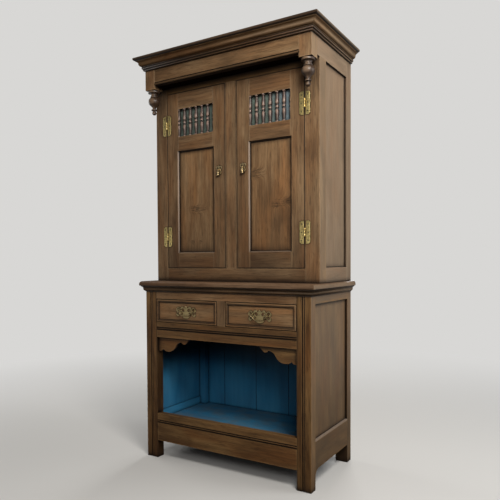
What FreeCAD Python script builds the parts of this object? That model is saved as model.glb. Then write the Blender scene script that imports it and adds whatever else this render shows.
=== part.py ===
import FreeCAD, Part
import math
import os
from FreeCAD import Vector

# Joined oak court cupboard, in millimetres: a base with two drawers over an open niche, and an
# upper case with two panelled doors, turned grilles, an overhanging frieze and a moulded cornice.
# The front faces -Y, +X is to the right, and the feet stand on z = 0.

# Plan of the two cases; their backs are flush
case_width = 866.0
base_depth = 439.0
upper_depth = 352.0
frieze_overhang = 77.0
cornice_reach = 43.0

# Heights of the framing, from the floor up
leg_height = 83.0
bottom_rail_height = 132.0
niche_height = 363.0
drawer_rail_height = 72.0
drawer_opening_height = 110.0
base_top_rail_height = 61.0
base_board_thickness = 22.0
upper_bottom_rail_height = 60.5
door_opening_height = 836.0
upper_top_rail_height = 26.5
frieze_rail_height = 120.0
cornice_board_thickness = 14.0

# Posts and rails
front_post_width = 64.0
front_post_depth = 42.0
back_post_width = 58.0
back_post_depth = 44.0
upper_post_width = 66.0
upper_post_depth = 65.0
upper_back_post_depth = 56.0
rail_thickness = 26.0
side_rail_thickness = 24.0
back_rail_thickness = 20.0
back_rail_height = 40.0
base_side_bottom_rail_height = 121.0
base_side_top_rail_height = 60.0
upper_side_bottom_rail_height = 64.0
foot_bracket_radius = 28.0

# Side panels, and how they sit in their grooves
side_recess = 10.0
side_panel_thickness = 9.0
groove_depth = 7.0
panel_clearance = 0.6

# Case joints
tenon_length = 30.0
tenon_thickness = 10.0
tenon_shoulder = 8.0
stub_tenon_length = 14.0
joint_clearance = 0.2
overrun = 20.0

# Scratched reed on the base posts and rails
reed_width = 14.0
reed_depth = 3.5
reed_quirk = 3.0
post_reed_offset = 24.0
drawer_rail_reed_drop = 23.0
bottom_rail_reed_drop = 32.0

# Boards inside and behind the cases
back_board_thickness = 12.0
board_gap = 0.8
back_joint_shares = (0.14, 0.40, 0.65, 0.90)
niche_floor_drop = 49.0
floor_board_thickness = 14.0
niche_floor_boards = 3
bearer_size = 20.0
upper_floor_drop = 2.0
shelf_height = 398.0
shelf_thickness = 16.0
ceiling_board_thickness = 16.0
dust_board_thickness = 8.0
board_end_gap = 0.5

# Centre post of the upper case, with the strip that the doors shut against
mullion_width = 60.0
mullion_bead = 3.0
mullion_quirk = 2.0
stop_strip_width = 86.0
stop_strip_thickness = 10.0
stop_gap = 0.3

# Brackets at the top of the niche: along the rail and down the post, as shares of both sizes
bracket_length = 185.0
bracket_drop = 67.0
bracket_thickness = 14.0
bracket_setback = 12.0
bracket_outline_shares = (
    (1.0, 0.0),
    (0.90, 0.31, 0.94, 0.20),
    (0.75, 0.28, 0.83, 0.41),
    (0.56, 0.60, 0.64, 0.36),
    (0.15, 0.85, 0.35, 1.00),
    (0.0, 0.98, 0.07, 1.00),
    (0.0, 0.0),
)

# Waist: a nosed board over an ogee bed moulding
waist_reach = 24.0
waist_round = 13.0
waist_under_round = 4.0
waist_bed_reach = 19.0
waist_bed_height = 27.0
waist_bed_shares = (
    (0.0, 0.0),
    (0.16, 0.0),
    (0.16, 0.10),
    (0.52, 0.47, 0.40, 0.20),
    (0.94, 0.88, 0.64, 0.74),
    (0.94, 1.0),
    (0.0, 1.0),
)

# Frieze: a board between two corner blocks, with a bead along its lower edge
frieze_board_thickness = 22.0
frieze_board_drop = 2.0
frieze_bead = 13.0
frieze_quirk = 2.5
corner_block_width = 57.0
corner_block_depth = 55.0
corner_block_drop = 18.0

# Cornice: two reeds, a cyma and a rounded top board, each standing further out
bed_mould_drop = 46.0
bed_mould_height = 18.0
bed_mould_reach = 13.0
bed_mould_shares = (
    (0.0, 0.0),
    (0.28, 0.0),
    (0.42, 0.46, 0.62, 0.22),
    (0.62, 1.0, 1.0, 0.72),
    (0.0, 1.0),
)
cyma_reach = 34.0
cyma_shares = (
    (0.0, 0.0),
    (0.38, 0.0),
    (0.38, 0.08),
    (0.68, 0.48, 0.60, 0.22),
    (0.97, 0.90, 0.77, 0.76),
    (1.0, 1.0),
    (0.0, 1.0),
)
cornice_under_round = 8.0
cornice_edge_round = 5.0

# Flats of the turned pieces: sides round each, and the largest turn along a rounded profile
pendant_sides = 16
spindle_sides = 10
drop_sides = 10
pin_sides = 10
flat_turn = 30.0

# Turned pendants under the corner blocks: radii, and heights down from the block
pendant_disc_radius = 29.0
pendant_disc_height = 11.0
pendant_disc_round = 3.0
pendant_neck_radius = 15.5
pendant_neck_drop = 19.0
pendant_ball_radius = 28.0
pendant_ball_end_radius = 18.0
pendant_ball_top = 30.0
pendant_ball_bottom = 67.0
pendant_taper_radius = 7.5
pendant_taper_bottom = 81.0
pendant_taper_hollow = 1.6
pendant_ring_radius = 14.0
pendant_ring_top = 86.0
pendant_ring_bottom = 91.0
pendant_knop_radius = 10.0
pendant_knop_top = 95.0
pendant_knop_bottom = 112.0
pendant_tip_radius = 3.0
pendant_tenon_size = 16.0
pendant_tenon_length = 22.0

# Doors
door_gap = 1.5
door_thickness = 22.0
door_stile_width = 66.0
door_top_rail_height = 78.0
door_middle_rail_height = 72.0
door_bottom_rail_height = 75.0
grille_height = 130.0
door_panel_recess = 10.0
door_panel_thickness = 7.0
door_chamfer = 5.0
door_tenon_length = 40.0
door_tenon_thickness = 8.0
door_tenon_shoulder = 9.0
grille_board_thickness = 4.0
grille_board_lap = 12.0

# Turned spindles of the grilles: half of the symmetrical turning, from the rail to the middle
spindle_count = 5
spindle_setback = 9.0
spindle_cap_radius = 8.6
spindle_cap_height = 5.0
spindle_neck_radius = 4.8
spindle_neck_rise = 8.0
spindle_belly_radius = 8.0
spindle_belly_rise = 50.5
spindle_waist_radius = 4.6
spindle_waist_rise = 58.0
spindle_ring_radius = 7.6
spindle_ring_height = 7.0

# H hinges on the face of the doors
hinge_leaf_height = 95.0
hinge_leaf_width = 19.0
hinge_leaf_thickness = 2.2
hinge_leaf_offset = 5.0
hinge_knuckle_height = 36.0
hinge_barrel_radius = 3.6
hinge_barrel_lift = 0.2
hinge_neck_lap = 2.5
hinge_pin_radius = 1.8
hinge_running_clearance = 0.05
hinge_knuckle_gap = 0.3
hinge_top_drop = 150.0
hinge_bottom_rise = 150.0
hinge_leaf_shares = (
    (0.0, -0.5),
    (0.66, -0.5),
    (0.80, -0.455),
    (1.0, -0.43),
    (1.0, 0.43),
    (0.80, 0.455),
    (0.66, 0.5),
    (0.0, 0.5),
)

# Drop pulls on the meeting stiles of the doors
pull_height = 447.0
pull_plate_width = 34.0
pull_plate_height = 46.0
pull_plate_thickness = 1.6
pull_plate_shares = (
    (0.0, 0.5),
    (0.36, 0.36, 0.14, 0.40),
    (0.92, 0.16, 0.86, 0.33),
    (0.52, 0.0),
    (0.80, -0.22),
    (0.0, -0.5, 0.46, -0.43),
)
pull_piercing_shares = (
    ((0.16, 0.22), (0.44, 0.28), (0.66, 0.17), (0.34, 0.10)),
    ((0.22, -0.10), (0.44, -0.14), (0.50, -0.26), (0.20, -0.24)),
)
pull_stud_radius = 3.6
pull_stud_length = 11.0
pull_pin_setback = 4.0
pull_pin_radius = 1.25
pull_fork_gap = 2.6
pull_fork_depth = 7.8
pull_tongue_thickness = 2.0
pull_tongue_radius = 3.0
pull_drop_length = 28.0
pull_bell_drop = 6.0
pull_bell_top_radius = 2.8
pull_bell_waist_drop = 17.0
pull_bell_waist_radius = 4.2
pull_bell_radius = 6.6
pull_bell_round = 2.0
pull_running_clearance = 0.05

# Drawers
drawer_gap = 1.2
drawer_running_gap = 0.3
drawer_divider_width = 44.0
drawer_front_thickness = 18.0
drawer_face_setback = 3.0
drawer_bead_width = 12.0
drawer_bead_height = 5.0
drawer_bead_inset = 1.5
drawer_bead_round = 3.0
drawer_back_gap = 7.0
drawer_side_thickness = 10.0
drawer_back_thickness = 10.0
drawer_side_drop = 4.0
drawer_bottom_thickness = 6.0
drawer_bottom_rise = 9.0
drawer_bottom_groove = 5.0
dovetail_count = 3
dovetail_length = 12.0
dovetail_root_share = 0.30
dovetail_tip_share = 0.44
runner_width = 24.0
runner_height = 18.0
guide_height = 18.0
drawer_stop_height = 6.0
drawer_stop_thickness = 4.5
drawer_stop_width = 24.0
drawer_stop_place_share = 0.25

# Bail handles on pierced plates
handle_plate_width = 114.0
handle_plate_height = 60.0
handle_plate_thickness = 1.8
handle_plate_shares = (
    (0.0, 0.50),
    (0.22, 0.28, 0.08, 0.36),
    (0.50, 0.30, 0.36, 0.42),
    (0.62, 0.20),
    (0.90, 0.26, 0.76, 0.36),
    (0.84, -0.02, 1.0, 0.13),
    (0.96, -0.18),
    (0.66, -0.22, 0.82, -0.36),
    (0.46, -0.14),
    (0.36, -0.36),
    (0.0, -0.50, 0.20, -0.47),
)
handle_piercing_shares = (
    ((0.15, 0.13), (0.30, 0.24), (0.43, 0.17), (0.28, 0.0)),
    ((0.31, -0.08), (0.43, -0.03), (0.41, -0.13), (0.34, -0.24)),
    ((0.66, 0.16), (0.77, 0.29), (0.86, 0.18), (0.76, 0.05)),
    ((0.66, -0.08), (0.76, 0.0), (0.87, -0.14), (0.73, -0.25)),
)
handle_post_spacing = 64.0
handle_post_rise = 7.0
handle_post_radius = 3.6
handle_post_length = 13.5
handle_post_head_radius = 4.6
handle_post_head_height = 2.5
bail_width = 4.6
bail_chamfer = 1.2
bail_eye_radius = 3.9
bail_post_gap = 0.3
bail_pin_radius = 1.9
bail_pin_end = 0.4
bail_running_clearance = 0.05
bail_axis_setback = 9.0
bail_drop = 4.0
bail_bend_radii = (9.0, 12.0, 34.0)
bail_bend_turns = (-70.0, 30.0, -50.0)

# Levels worked out from the heights
niche_sill = leg_height + bottom_rail_height
niche_head = niche_sill + niche_height
drawer_sill = niche_head + drawer_rail_height
drawer_head = drawer_sill + drawer_opening_height
base_frame_top = drawer_head + base_top_rail_height
base_top = base_frame_top + base_board_thickness
door_sill = base_top + upper_bottom_rail_height
door_head = door_sill + door_opening_height
ceiling_level = door_head + upper_top_rail_height
upper_frame_top = ceiling_level + frieze_rail_height
niche_floor = niche_sill - niche_floor_drop
upper_floor = door_sill - upper_floor_drop
bed_mould_bottom = upper_frame_top - bed_mould_drop
cyma_bottom = bed_mould_bottom + bed_mould_height
cyma_height = upper_frame_top - cyma_bottom

# Planes worked out from the plan
half_width = case_width / 2
overall_depth = upper_depth + frieze_overhang + cornice_reach
back_face = overall_depth / 2
base_front = back_face - base_depth
upper_front = back_face - upper_depth
frieze_front = upper_front - frieze_overhang
base_opening = half_width - front_post_width
upper_opening = half_width - upper_post_width
back_opening = half_width - back_post_width
back_board_front = back_face - back_board_thickness
side_rail_inside = half_width - side_rail_thickness
side_panel_inside = half_width - side_recess - side_panel_thickness
base_rail_back = base_front + rail_thickness
upper_rail_back = upper_front + rail_thickness
base_post_back = base_front + front_post_depth
base_back_post_front = back_face - back_post_depth
upper_post_back = upper_front + upper_post_depth
upper_back_post_front = back_face - upper_back_post_depth
back_rail_front = back_board_front - back_rail_thickness

X_WAY, Y_WAY, Z_WAY = range(3)
UP = Vector(0, 0, 1)
ACROSS = Vector(1, 0, 0)
OUTWARD = Vector(0, -1, 0)
CENTRE = Vector(0, 0, 0)


def block(low, high):
    """A box between two corners."""
    return Part.makeBox(high[0] - low[0], high[1] - low[1], high[2] - low[2], Vector(*low))


def grown(low, high, margins):
    """The same box with a margin added on each side, one margin for each direction."""
    return block([a - m for a, m in zip(low, margins)], [b + m for b, m in zip(high, margins)])


def mirrored(shape):
    """The matching piece on the left-hand side."""
    return shape.mirror(CENTRE, ACROSS)


def pair(shape):
    """A right-hand piece and its mirror image."""
    return [shape, mirrored(shape)]


def outline_face(points, place):
    """A flat face from points (u, v), or (u, v, mid u, mid v) for an arc; place gives 3-D points."""
    edges = []
    last = place(points[0][0], points[0][1])
    for point in list(points[1:]) + [points[0][:2]]:
        end = place(point[0], point[1])
        if end.distanceToPoint(last) < FreeCAD.Base.Precision.confusion():
            continue
        if len(point) == 4:
            edges.append(Part.Arc(last, place(point[2], point[3]), end).toShape())
        else:
            edges.append(Part.LineSegment(last, end).toShape())
        last = end
    return Part.Face(Part.Wire(edges))


def scaled(shares, width, height):
    """Outline shares turned into sizes; an arc's middle is scaled as its end is."""
    return [tuple(s * (width, height)[i % 2] for i, s in enumerate(point)) for point in shares]


def both_sides(shares):
    """A right-hand half outline from top to bottom, closed by its mirror image."""
    left = []
    for i in range(len(shares) - 1, 0, -1):
        here, before = shares[i], shares[i - 1]
        middle = tuple((-here[2], here[3])) if len(here) == 4 else ()
        left.append((-before[0], before[1]) + middle)
    return list(shares) + left


def skinned(rings):
    """A solid with flat facets between matching rings of points, closed by its end rings."""
    faces = [Part.Face(Part.makePolygon(ring + ring[:1])) for ring in (rings[0], rings[-1])]
    for low, high in zip(rings, rings[1:]):
        for i in range(len(low)):
            corners = [low[i - 1], low[i], high[i], high[i - 1]]
            faces.append(Part.Face(Part.makePolygon(corners + corners[:1])))
    solid = Part.makeSolid(Part.makeShell(faces))
    if solid.Volume < 0:
        solid.reverse()
    return solid


def flattened(profile):
    """Profile points (u, v), with each arc (u, v, mid u, mid v) as steps of a small turn."""
    points = [profile[0][:2]]
    for point in profile[1:]:
        if len(point) == 4:
            arc = Part.Arc(Vector(*points[-1], 0), Vector(point[2], point[3], 0),
                           Vector(point[0], point[1], 0)).toShape()
            turn = math.degrees(arc.Length / arc.Curve.Radius)
            places = arc.discretize(math.ceil(turn / flat_turn) + 1)
            points += [(place.x, place.y) for place in places[1:]]
        else:
            points.append(point)
    return points


def turned(profile, sides, start, axis=UP):
    """A turning cut to flats: profile gives (radius, distance along the axis) in order."""
    swing = FreeCAD.Rotation(UP, axis)
    angles = [2 * math.pi * (i + 0.5) / sides for i in range(sides)]
    rings = []
    for radius, along in flattened(profile):
        ring = [Vector(radius * math.cos(a), radius * math.sin(a), along) for a in angles]
        rings.append([start + swing.multVec(corner) for corner in ring])
    return skinned(rings)


def pin(radius, length, start, axis):
    """A straight pin or barrel whose corners lie on its radius."""
    return turned([(radius, 0), (radius, length)], pin_sides, start, axis)


def bore(radius, length, start, axis):
    """The space for a pin to turn in, whose flats lie on its radius."""
    return pin(radius / math.cos(math.pi / pin_sides), length, start, axis)


class Member:
    """A straight member of the framing, with a tenon on each end that enters its neighbours."""

    def __init__(self, low, high, way, length=tenon_length, thickness=tenon_thickness,
                 shoulder=tenon_shoulder):
        self.low = list(low)
        self.high = list(high)
        self.way = way
        self.length = length
        self.thickness = thickness
        self.shoulder = shoulder

    def tenons(self, slack):
        across = [i for i in (X_WAY, Y_WAY, Z_WAY) if i != self.way]
        thin, wide = sorted(across, key=lambda i: self.high[i] - self.low[i])
        middle = (self.low[thin] + self.high[thin]) / 2
        blocks = []
        for end, outward in ((self.low[self.way], -1), (self.high[self.way], 1)):
            tip = end + outward * (self.length + slack)
            low, high = list(self.low), list(self.high)
            low[self.way], high[self.way] = min(end, tip), max(end, tip)
            low[thin] = middle - self.thickness / 2 - slack
            high[thin] = middle + self.thickness / 2 + slack
            low[wide] = self.low[wide] + self.shoulder - slack
            high[wide] = self.high[wide] - self.shoulder + slack
            blocks.append(block(low, high))
        return blocks

    def solid(self):
        return block(self.low, self.high).fuse(self.tenons(0)).removeSplitter()

    def mortises(self):
        return self.tenons(joint_clearance)


class Panel:
    """A panel held in grooves round its edges, free to shrink; thin is the way it is thin."""

    def __init__(self, low, high, thin):
        self.low = list(low)
        self.high = list(high)
        self.thin = thin

    def _grown(self, margin):
        return grown(self.low, self.high, [0 if i == self.thin else margin for i in range(3)])

    def solid(self):
        return self._grown(groove_depth - panel_clearance)

    def groove(self):
        return self._grown(groove_depth)


def reed_cutter(start, end, across):
    """What is scratched away beside and over a half-round reed, along a line on a front face."""
    half = reed_width / 2
    bead_half = half - reed_quirk
    bead_radius = (bead_half ** 2 + reed_depth ** 2) / (2 * reed_depth)
    along = end - start
    low = start - across * half
    trench = Part.Face(Part.makePolygon([
        low - OUTWARD * reed_depth, low + OUTWARD * overrun,
        low + across * reed_width + OUTWARD * overrun,
        low + across * reed_width - OUTWARD * reed_depth, low - OUTWARD * reed_depth,
    ])).extrude(along)
    bead = Part.makeCylinder(bead_radius, along.Length, start - OUTWARD * bead_radius, along)
    return trench.cut(bead)


# Framing of the base
base_bottom_rail = Member((-base_opening, base_front, leg_height),
                          (base_opening, base_rail_back, niche_sill), X_WAY)
drawer_rail = Member((-base_opening, base_front, niche_head),
                     (base_opening, base_rail_back, drawer_sill), X_WAY)
base_top_rail = Member((-base_opening, base_front, drawer_head),
                       (base_opening, base_rail_back, base_frame_top), X_WAY)
drawer_divider = Member((-drawer_divider_width / 2, base_front, drawer_sill),
                        (drawer_divider_width / 2, base_rail_back, drawer_head), Z_WAY,
                        length=stub_tenon_length)
base_side_bottom = Member((side_rail_inside, base_post_back, leg_height),
                          (half_width, base_back_post_front,
                           leg_height + base_side_bottom_rail_height), Y_WAY)
base_side_top = Member((side_rail_inside, base_post_back,
                        base_frame_top - base_side_top_rail_height),
                       (half_width, base_back_post_front, base_frame_top), Y_WAY)
base_side_panel = Panel((side_panel_inside, base_post_back, base_side_bottom.high[2]),
                        (side_panel_inside + side_panel_thickness, base_back_post_front,
                         base_side_top.low[2]), X_WAY)

# Framing of the upper case
upper_bottom_rail = Member((-upper_opening, upper_front, base_top),
                           (upper_opening, upper_rail_back, door_sill), X_WAY)
upper_top_rail = Member((-upper_opening, upper_front, door_head),
                        (upper_opening, upper_rail_back, ceiling_level), X_WAY)
mullion = Member((-mullion_width / 2, upper_front, door_sill),
                 (mullion_width / 2, upper_front + door_thickness, door_head), Z_WAY,
                 length=stub_tenon_length)
upper_side_bottom = Member((side_rail_inside, upper_post_back, base_top),
                           (half_width, upper_back_post_front,
                            base_top + upper_side_bottom_rail_height), Y_WAY)
upper_side_panel = Panel((side_panel_inside, upper_post_back, upper_side_bottom.high[2]),
                         (side_panel_inside + side_panel_thickness, upper_back_post_front,
                          ceiling_level), X_WAY)


def back_rail(bottom, top):
    """A rail between two back posts, with the back boards nailed to it."""
    return Member((-back_opening, back_rail_front, bottom),
                  (back_opening, back_board_front, top), X_WAY)


base_back_rails = [
    back_rail(niche_floor - floor_board_thickness - back_rail_height,
              niche_floor - floor_board_thickness),
    back_rail(drawer_sill - back_rail_height, drawer_sill),
    back_rail(base_frame_top - back_rail_height, base_frame_top),
]
upper_back_rails = [
    back_rail(upper_floor - floor_board_thickness - back_rail_height,
              upper_floor - floor_board_thickness),
    back_rail(base_top + shelf_height - shelf_thickness - back_rail_height,
              base_top + shelf_height - shelf_thickness),
    back_rail(ceiling_level - back_rail_height, ceiling_level),
]


def mortises(members):
    return [hole for member in members for hole in member.mortises()]


def base_front_post():
    low = (base_opening, base_front, 0)
    high = (half_width, base_post_back, base_frame_top)
    reed_x = base_opening + post_reed_offset + reed_width / 2
    reed = reed_cutter(Vector(reed_x, base_front, -overrun),
                       Vector(reed_x, base_front, base_frame_top + overrun), ACROSS)
    rails = [base_bottom_rail, drawer_rail, base_top_rail, base_side_bottom, base_side_top]
    return block(low, high).cut(mortises(rails) + [base_side_panel.groove(), reed])


def base_back_post():
    low = (back_opening, base_back_post_front, 0)
    high = (half_width, back_face, base_frame_top)
    rails = base_back_rails + [base_side_bottom, base_side_top]
    return block(low, high).cut(mortises(rails) + [base_side_panel.groove()])


def foot_bracket():
    """The small quadrant that carries the side rail into the front leg."""
    low = (side_rail_inside, base_post_back, leg_height - foot_bracket_radius)
    high = (half_width, base_post_back + foot_bracket_radius, leg_height)
    axis_start = Vector(side_rail_inside - overrun, high[1], low[2])
    hollow = Part.makeCylinder(foot_bracket_radius, side_rail_thickness + overrun * 2,
                               axis_start, ACROSS)
    return block(low, high).cut(hollow)


def base_side_rails():
    bottom = base_side_bottom.solid().fuse(foot_bracket()).cut(base_side_panel.groove())
    top = base_side_top.solid().cut(base_side_panel.groove())
    return pair(bottom) + pair(top)


def base_front_bottom_rail():
    level = niche_sill - bottom_rail_reed_drop - reed_width / 2
    reed = reed_cutter(Vector(-base_opening, base_front, level),
                       Vector(base_opening, base_front, level), UP)
    return base_bottom_rail.solid().cut(reed)


def drawer_blade():
    level = drawer_sill - drawer_rail_reed_drop - reed_width / 2
    reed = reed_cutter(Vector(-base_opening, base_front, level),
                       Vector(base_opening, base_front, level), UP)
    return drawer_rail.solid().cut(drawer_divider.mortises() + [reed])


def niche_bracket():
    """The right-hand shaped bracket under the drawer rail, set back from the face."""
    outline = scaled(bracket_outline_shares, bracket_length, bracket_drop)
    front = base_front + bracket_setback
    face = outline_face(outline, lambda u, v: Vector(base_opening - u, front, niche_head - v))
    return face.extrude(Vector(0, bracket_thickness, 0))


def back_boards(bottom, top):
    """Upright boards between the back posts."""
    width = back_opening * 2
    joints = [0] + [share * width for share in back_joint_shares] + [width]
    boards = []
    for left, right in zip(joints, joints[1:]):
        low_gap = board_gap / 2 if left else 0
        high_gap = board_gap / 2 if right < width else 0
        boards.append(block((left + low_gap - back_opening, back_board_front, bottom),
                            (right - high_gap - back_opening, back_face, top)))
    return boards


def post_notches(front_low, front_high, back_low, back_high):
    """The spaces round the four posts of a case, which its boards are notched for."""
    margins = (board_end_gap, board_end_gap, 0)
    right = [grown(front_low, front_high, margins), grown(back_low, back_high, margins)]
    return right + [mirrored(notch) for notch in right]


def base_notches():
    return post_notches((base_opening, base_front, 0),
                        (half_width, base_post_back, base_frame_top),
                        (back_opening, base_back_post_front, 0),
                        (half_width, back_face, base_frame_top))


def upper_notches():
    return post_notches((upper_opening, upper_front, base_top),
                        (half_width, upper_post_back, ceiling_level),
                        (back_opening, upper_back_post_front, base_top),
                        (half_width, back_face, upper_frame_top))


def niche_floor_board_row():
    """Boards laid from side to side, notched round the posts."""
    front, back = base_rail_back, back_board_front
    step = (back - front) / niche_floor_boards
    half = side_rail_inside - board_end_gap
    boards = []
    for i in range(niche_floor_boards):
        gap = board_gap if i else 0
        low = (-half, front + i * step + gap, niche_floor - floor_board_thickness)
        boards.append(block(low, (half, front + (i + 1) * step, niche_floor)).cut(base_notches()))
    return boards


def dust_board():
    top = drawer_sill - runner_height
    half = side_rail_inside - board_end_gap
    board = block((-half, base_rail_back, top - dust_board_thickness),
                  (half, back_rail_front, top))
    return board.cut(base_notches())


def drawer_runners():
    """Runners under the drawers' sides, guides beside them, and stops behind the fronts."""
    low, high = drawer_sill - runner_height, drawer_sill
    guide_half = drawer_divider_width / 2 - drawer_gap / 2
    side_runner = block((base_opening - runner_width, base_rail_back, low),
                        (base_opening, back_rail_front, high))
    side_guide = block((base_opening, base_post_back, low),
                       (side_rail_inside, base_back_post_front, high + guide_height))
    centre_half = drawer_divider_width / 2 + runner_width
    centre_runner = block((-centre_half, base_rail_back, low), (centre_half, back_rail_front, high))
    centre_guide = block((-guide_half, base_rail_back, high),
                         (guide_half, back_rail_front, high + guide_height))
    stops = []
    left, right = drawer_edges()
    for share in (drawer_stop_place_share, 1 - drawer_stop_place_share):
        middle = left + (right - left) * share
        back = base_rail_back
        stops += pair(block((middle - drawer_stop_width / 2, back - drawer_stop_thickness, high),
                            (middle + drawer_stop_width / 2, back, high + drawer_stop_height)))
    return pair(side_runner) + pair(side_guide) + [centre_runner, centre_guide] + stops


def board_bearers():
    """Battens under the floors and the shelf."""
    floor_under = niche_floor - floor_board_thickness
    upper_under = upper_floor - floor_board_thickness
    shelf_under = base_top + shelf_height - shelf_thickness
    front = block((-base_opening, base_rail_back, floor_under - bearer_size),
                  (base_opening, base_rail_back + bearer_size, floor_under))
    upper_lip = block((-upper_opening, upper_rail_back, upper_under - bearer_size),
                      (upper_opening, upper_rail_back + bearer_size, upper_under))
    sides = [
        block((side_rail_inside - bearer_size, base_post_back, floor_under - bearer_size),
              (side_rail_inside, base_back_post_front, floor_under)),
        block((side_rail_inside - bearer_size, upper_post_back, upper_under - bearer_size),
              (side_rail_inside, upper_back_post_front, upper_under)),
        block((side_panel_inside - bearer_size, upper_post_back, shelf_under - bearer_size),
              (side_panel_inside, upper_back_post_front, shelf_under)),
    ]
    return [front, upper_lip] + [piece for side in sides for piece in pair(side)]


def moulded_board(edge, reach, front, level):
    """A board with the same moulded edge on its front and both ends, mitred at the corners."""
    lengthwise = outline_face(edge_with_back(edge, front),
                              lambda u, v: Vector(-half_width - reach, front - u, level + v))
    sideways = outline_face(edge_with_sides(edge),
                            lambda u, v: Vector(u, front - reach, level + v))
    long_run = lengthwise.extrude(Vector((half_width + reach) * 2, 0, 0))
    cross_run = sideways.extrude(Vector(0, back_face - front + reach, 0))
    return long_run.common(cross_run)


def edge_with_back(edge, front):
    """An edge outline carried straight back to the back of the case."""
    depth = front - back_face
    return [(depth, edge[0][1])] + list(edge) + [(depth, edge[-1][1])]


def edge_with_sides(edge):
    """An edge outline at the right-hand end, joined to its mirror image at the left."""
    right = [(half_width + p[0], p[1]) + ((half_width + p[2], p[3]) if len(p) == 4 else ())
             for p in edge]
    left = []
    for i in range(len(right) - 1, -1, -1):
        after = right[i + 1] if i + 1 < len(right) else ()
        middle = (-after[2], after[3]) if len(after) == 4 else ()
        left.append((-right[i][0], right[i][1]) + middle)
    return right + left


def rounded_edge(reach, thickness, top_round, under_round, start):
    """A board's edge from underneath to the top, rounded at both arrises."""
    corner = 1 - math.sqrt(0.5)
    return [
        (start, 0),
        (reach - under_round, 0),
        (reach, under_round, reach - under_round * corner, under_round * corner),
        (reach, thickness - top_round),
        (reach - top_round, thickness, reach - top_round * corner, thickness - top_round * corner),
        (start, thickness),
    ]


def base_top_board():
    edge = rounded_edge(waist_reach, base_board_thickness, waist_round, waist_under_round, 0)
    return moulded_board(edge, waist_reach, base_front, base_frame_top)


def cornice_top_board():
    edge = rounded_edge(cornice_reach, cornice_board_thickness, cornice_edge_round,
                        cornice_under_round, 0)
    return moulded_board(edge, cornice_reach, frieze_front, upper_frame_top)


def mitred_moulding(points, reach, front, level):
    """A moulding along the front and both sides of a case, as three pieces mitred together."""
    far = half_width + reach
    ahead = front - reach
    run = outline_face(points, lambda u, v: Vector(-far, front - u, level + v))
    run = run.extrude(Vector(far * 2, 0, 0))
    end = outline_face(points, lambda u, v: Vector(half_width + u, ahead, level + v))
    end = end.extrude(Vector(0, back_face - ahead, 0))
    below = level - overrun
    depth = Vector(0, 0, max(p[1] for p in points) + overrun * 2)
    inner, corner = Vector(half_width, front, below), Vector(far, ahead, below)
    ahead_plan = [inner, corner, Vector(-far, ahead, below), Vector(-half_width, front, below)]
    side_plan = [inner, corner, Vector(far, back_face, below), Vector(half_width, back_face, below)]
    wedges = [Part.Face(Part.makePolygon(plan + plan[:1])).extrude(depth)
              for plan in (ahead_plan, side_plan)]
    return [run.common(wedges[0])] + pair(end.common(wedges[1]))


def waist_bed_moulding():
    points = scaled(waist_bed_shares, waist_bed_reach, waist_bed_height)
    return mitred_moulding(points, waist_reach, base_front, base_frame_top - waist_bed_height)


def cornice_bed_moulding():
    points = flattened(scaled(bed_mould_shares, bed_mould_reach, bed_mould_height))
    return mitred_moulding(points, cornice_reach, frieze_front, bed_mould_bottom)


def cornice_cyma():
    points = scaled(cyma_shares, cyma_reach, cyma_height)
    return mitred_moulding(points, cornice_reach, frieze_front, cyma_bottom)


def upper_front_post():
    low = (upper_opening, upper_front, base_top)
    high = (half_width, upper_post_back, ceiling_level)
    rails = [upper_bottom_rail, upper_top_rail, upper_side_bottom]
    return block(low, high).cut(mortises(rails) + [upper_side_panel.groove()])


def upper_back_post():
    low = (back_opening, upper_back_post_front, base_top)
    high = (half_width, back_face, upper_frame_top)
    rails = upper_back_rails + [upper_side_bottom, frieze_side_rail_member()]
    return block(low, high).cut(mortises(rails) + [upper_side_panel.groove()])


def frieze_side_rail_member():
    """The side's top rail, which runs forward over the post to carry the frieze."""
    return Member((side_rail_inside, frieze_front + corner_block_depth, ceiling_level),
                  (half_width, upper_back_post_front, upper_frame_top), Y_WAY)


def upper_side_rails():
    bottom = upper_side_bottom.solid().cut(upper_side_panel.groove())
    top = frieze_side_rail_member().solid().cut(upper_side_panel.groove())
    return pair(bottom) + pair(top)


def corner_block_low():
    return (half_width - corner_block_width, frieze_front, ceiling_level - corner_block_drop)


def corner_block():
    low = corner_block_low()
    high = (half_width, frieze_front + corner_block_depth, upper_frame_top)
    cuts = [pendant_tenon(joint_clearance)] + frieze_side_rail_member().mortises()
    return block(low, high).cut(cuts)


def frieze_board():
    """The board between the corner blocks, with a quirk and a bead along its lower edge."""
    half = half_width - corner_block_width
    bottom = ceiling_level - frieze_board_drop
    round_over = frieze_bead / 2
    points = [
        (0, frieze_bead + frieze_quirk + bottom),
        (0, upper_frame_top),
        (-frieze_board_thickness, upper_frame_top),
        (-frieze_board_thickness, bottom),
        (-round_over / 2, bottom),
        (-round_over / 2, bottom + frieze_bead, round_over / 2, bottom + round_over),
        (-round_over / 2, bottom + frieze_bead + frieze_quirk),
    ]
    face = outline_face(points, lambda u, v: Vector(-half, frieze_front - u, v))
    return face.extrude(Vector(half * 2, 0, 0))


def ceiling_board():
    """The ceiling of the case, which runs forward as the soffit behind the frieze."""
    half = side_rail_inside - board_end_gap
    board = block((-half, frieze_front + frieze_board_thickness, ceiling_level),
                  (half, back_board_front, ceiling_level + ceiling_board_thickness))
    block_low = corner_block_low()
    block_high = (half_width, frieze_front + corner_block_depth, upper_frame_top)
    space = grown(block_low, block_high, (board_end_gap, board_end_gap, 0))
    return board.cut(upper_notches() + [space, mirrored(space)])


def upper_floor_board():
    half = side_rail_inside - board_end_gap
    board = block((-half, upper_rail_back, upper_floor - floor_board_thickness),
                  (half, back_board_front, upper_floor))
    return board.cut(upper_notches())


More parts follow.
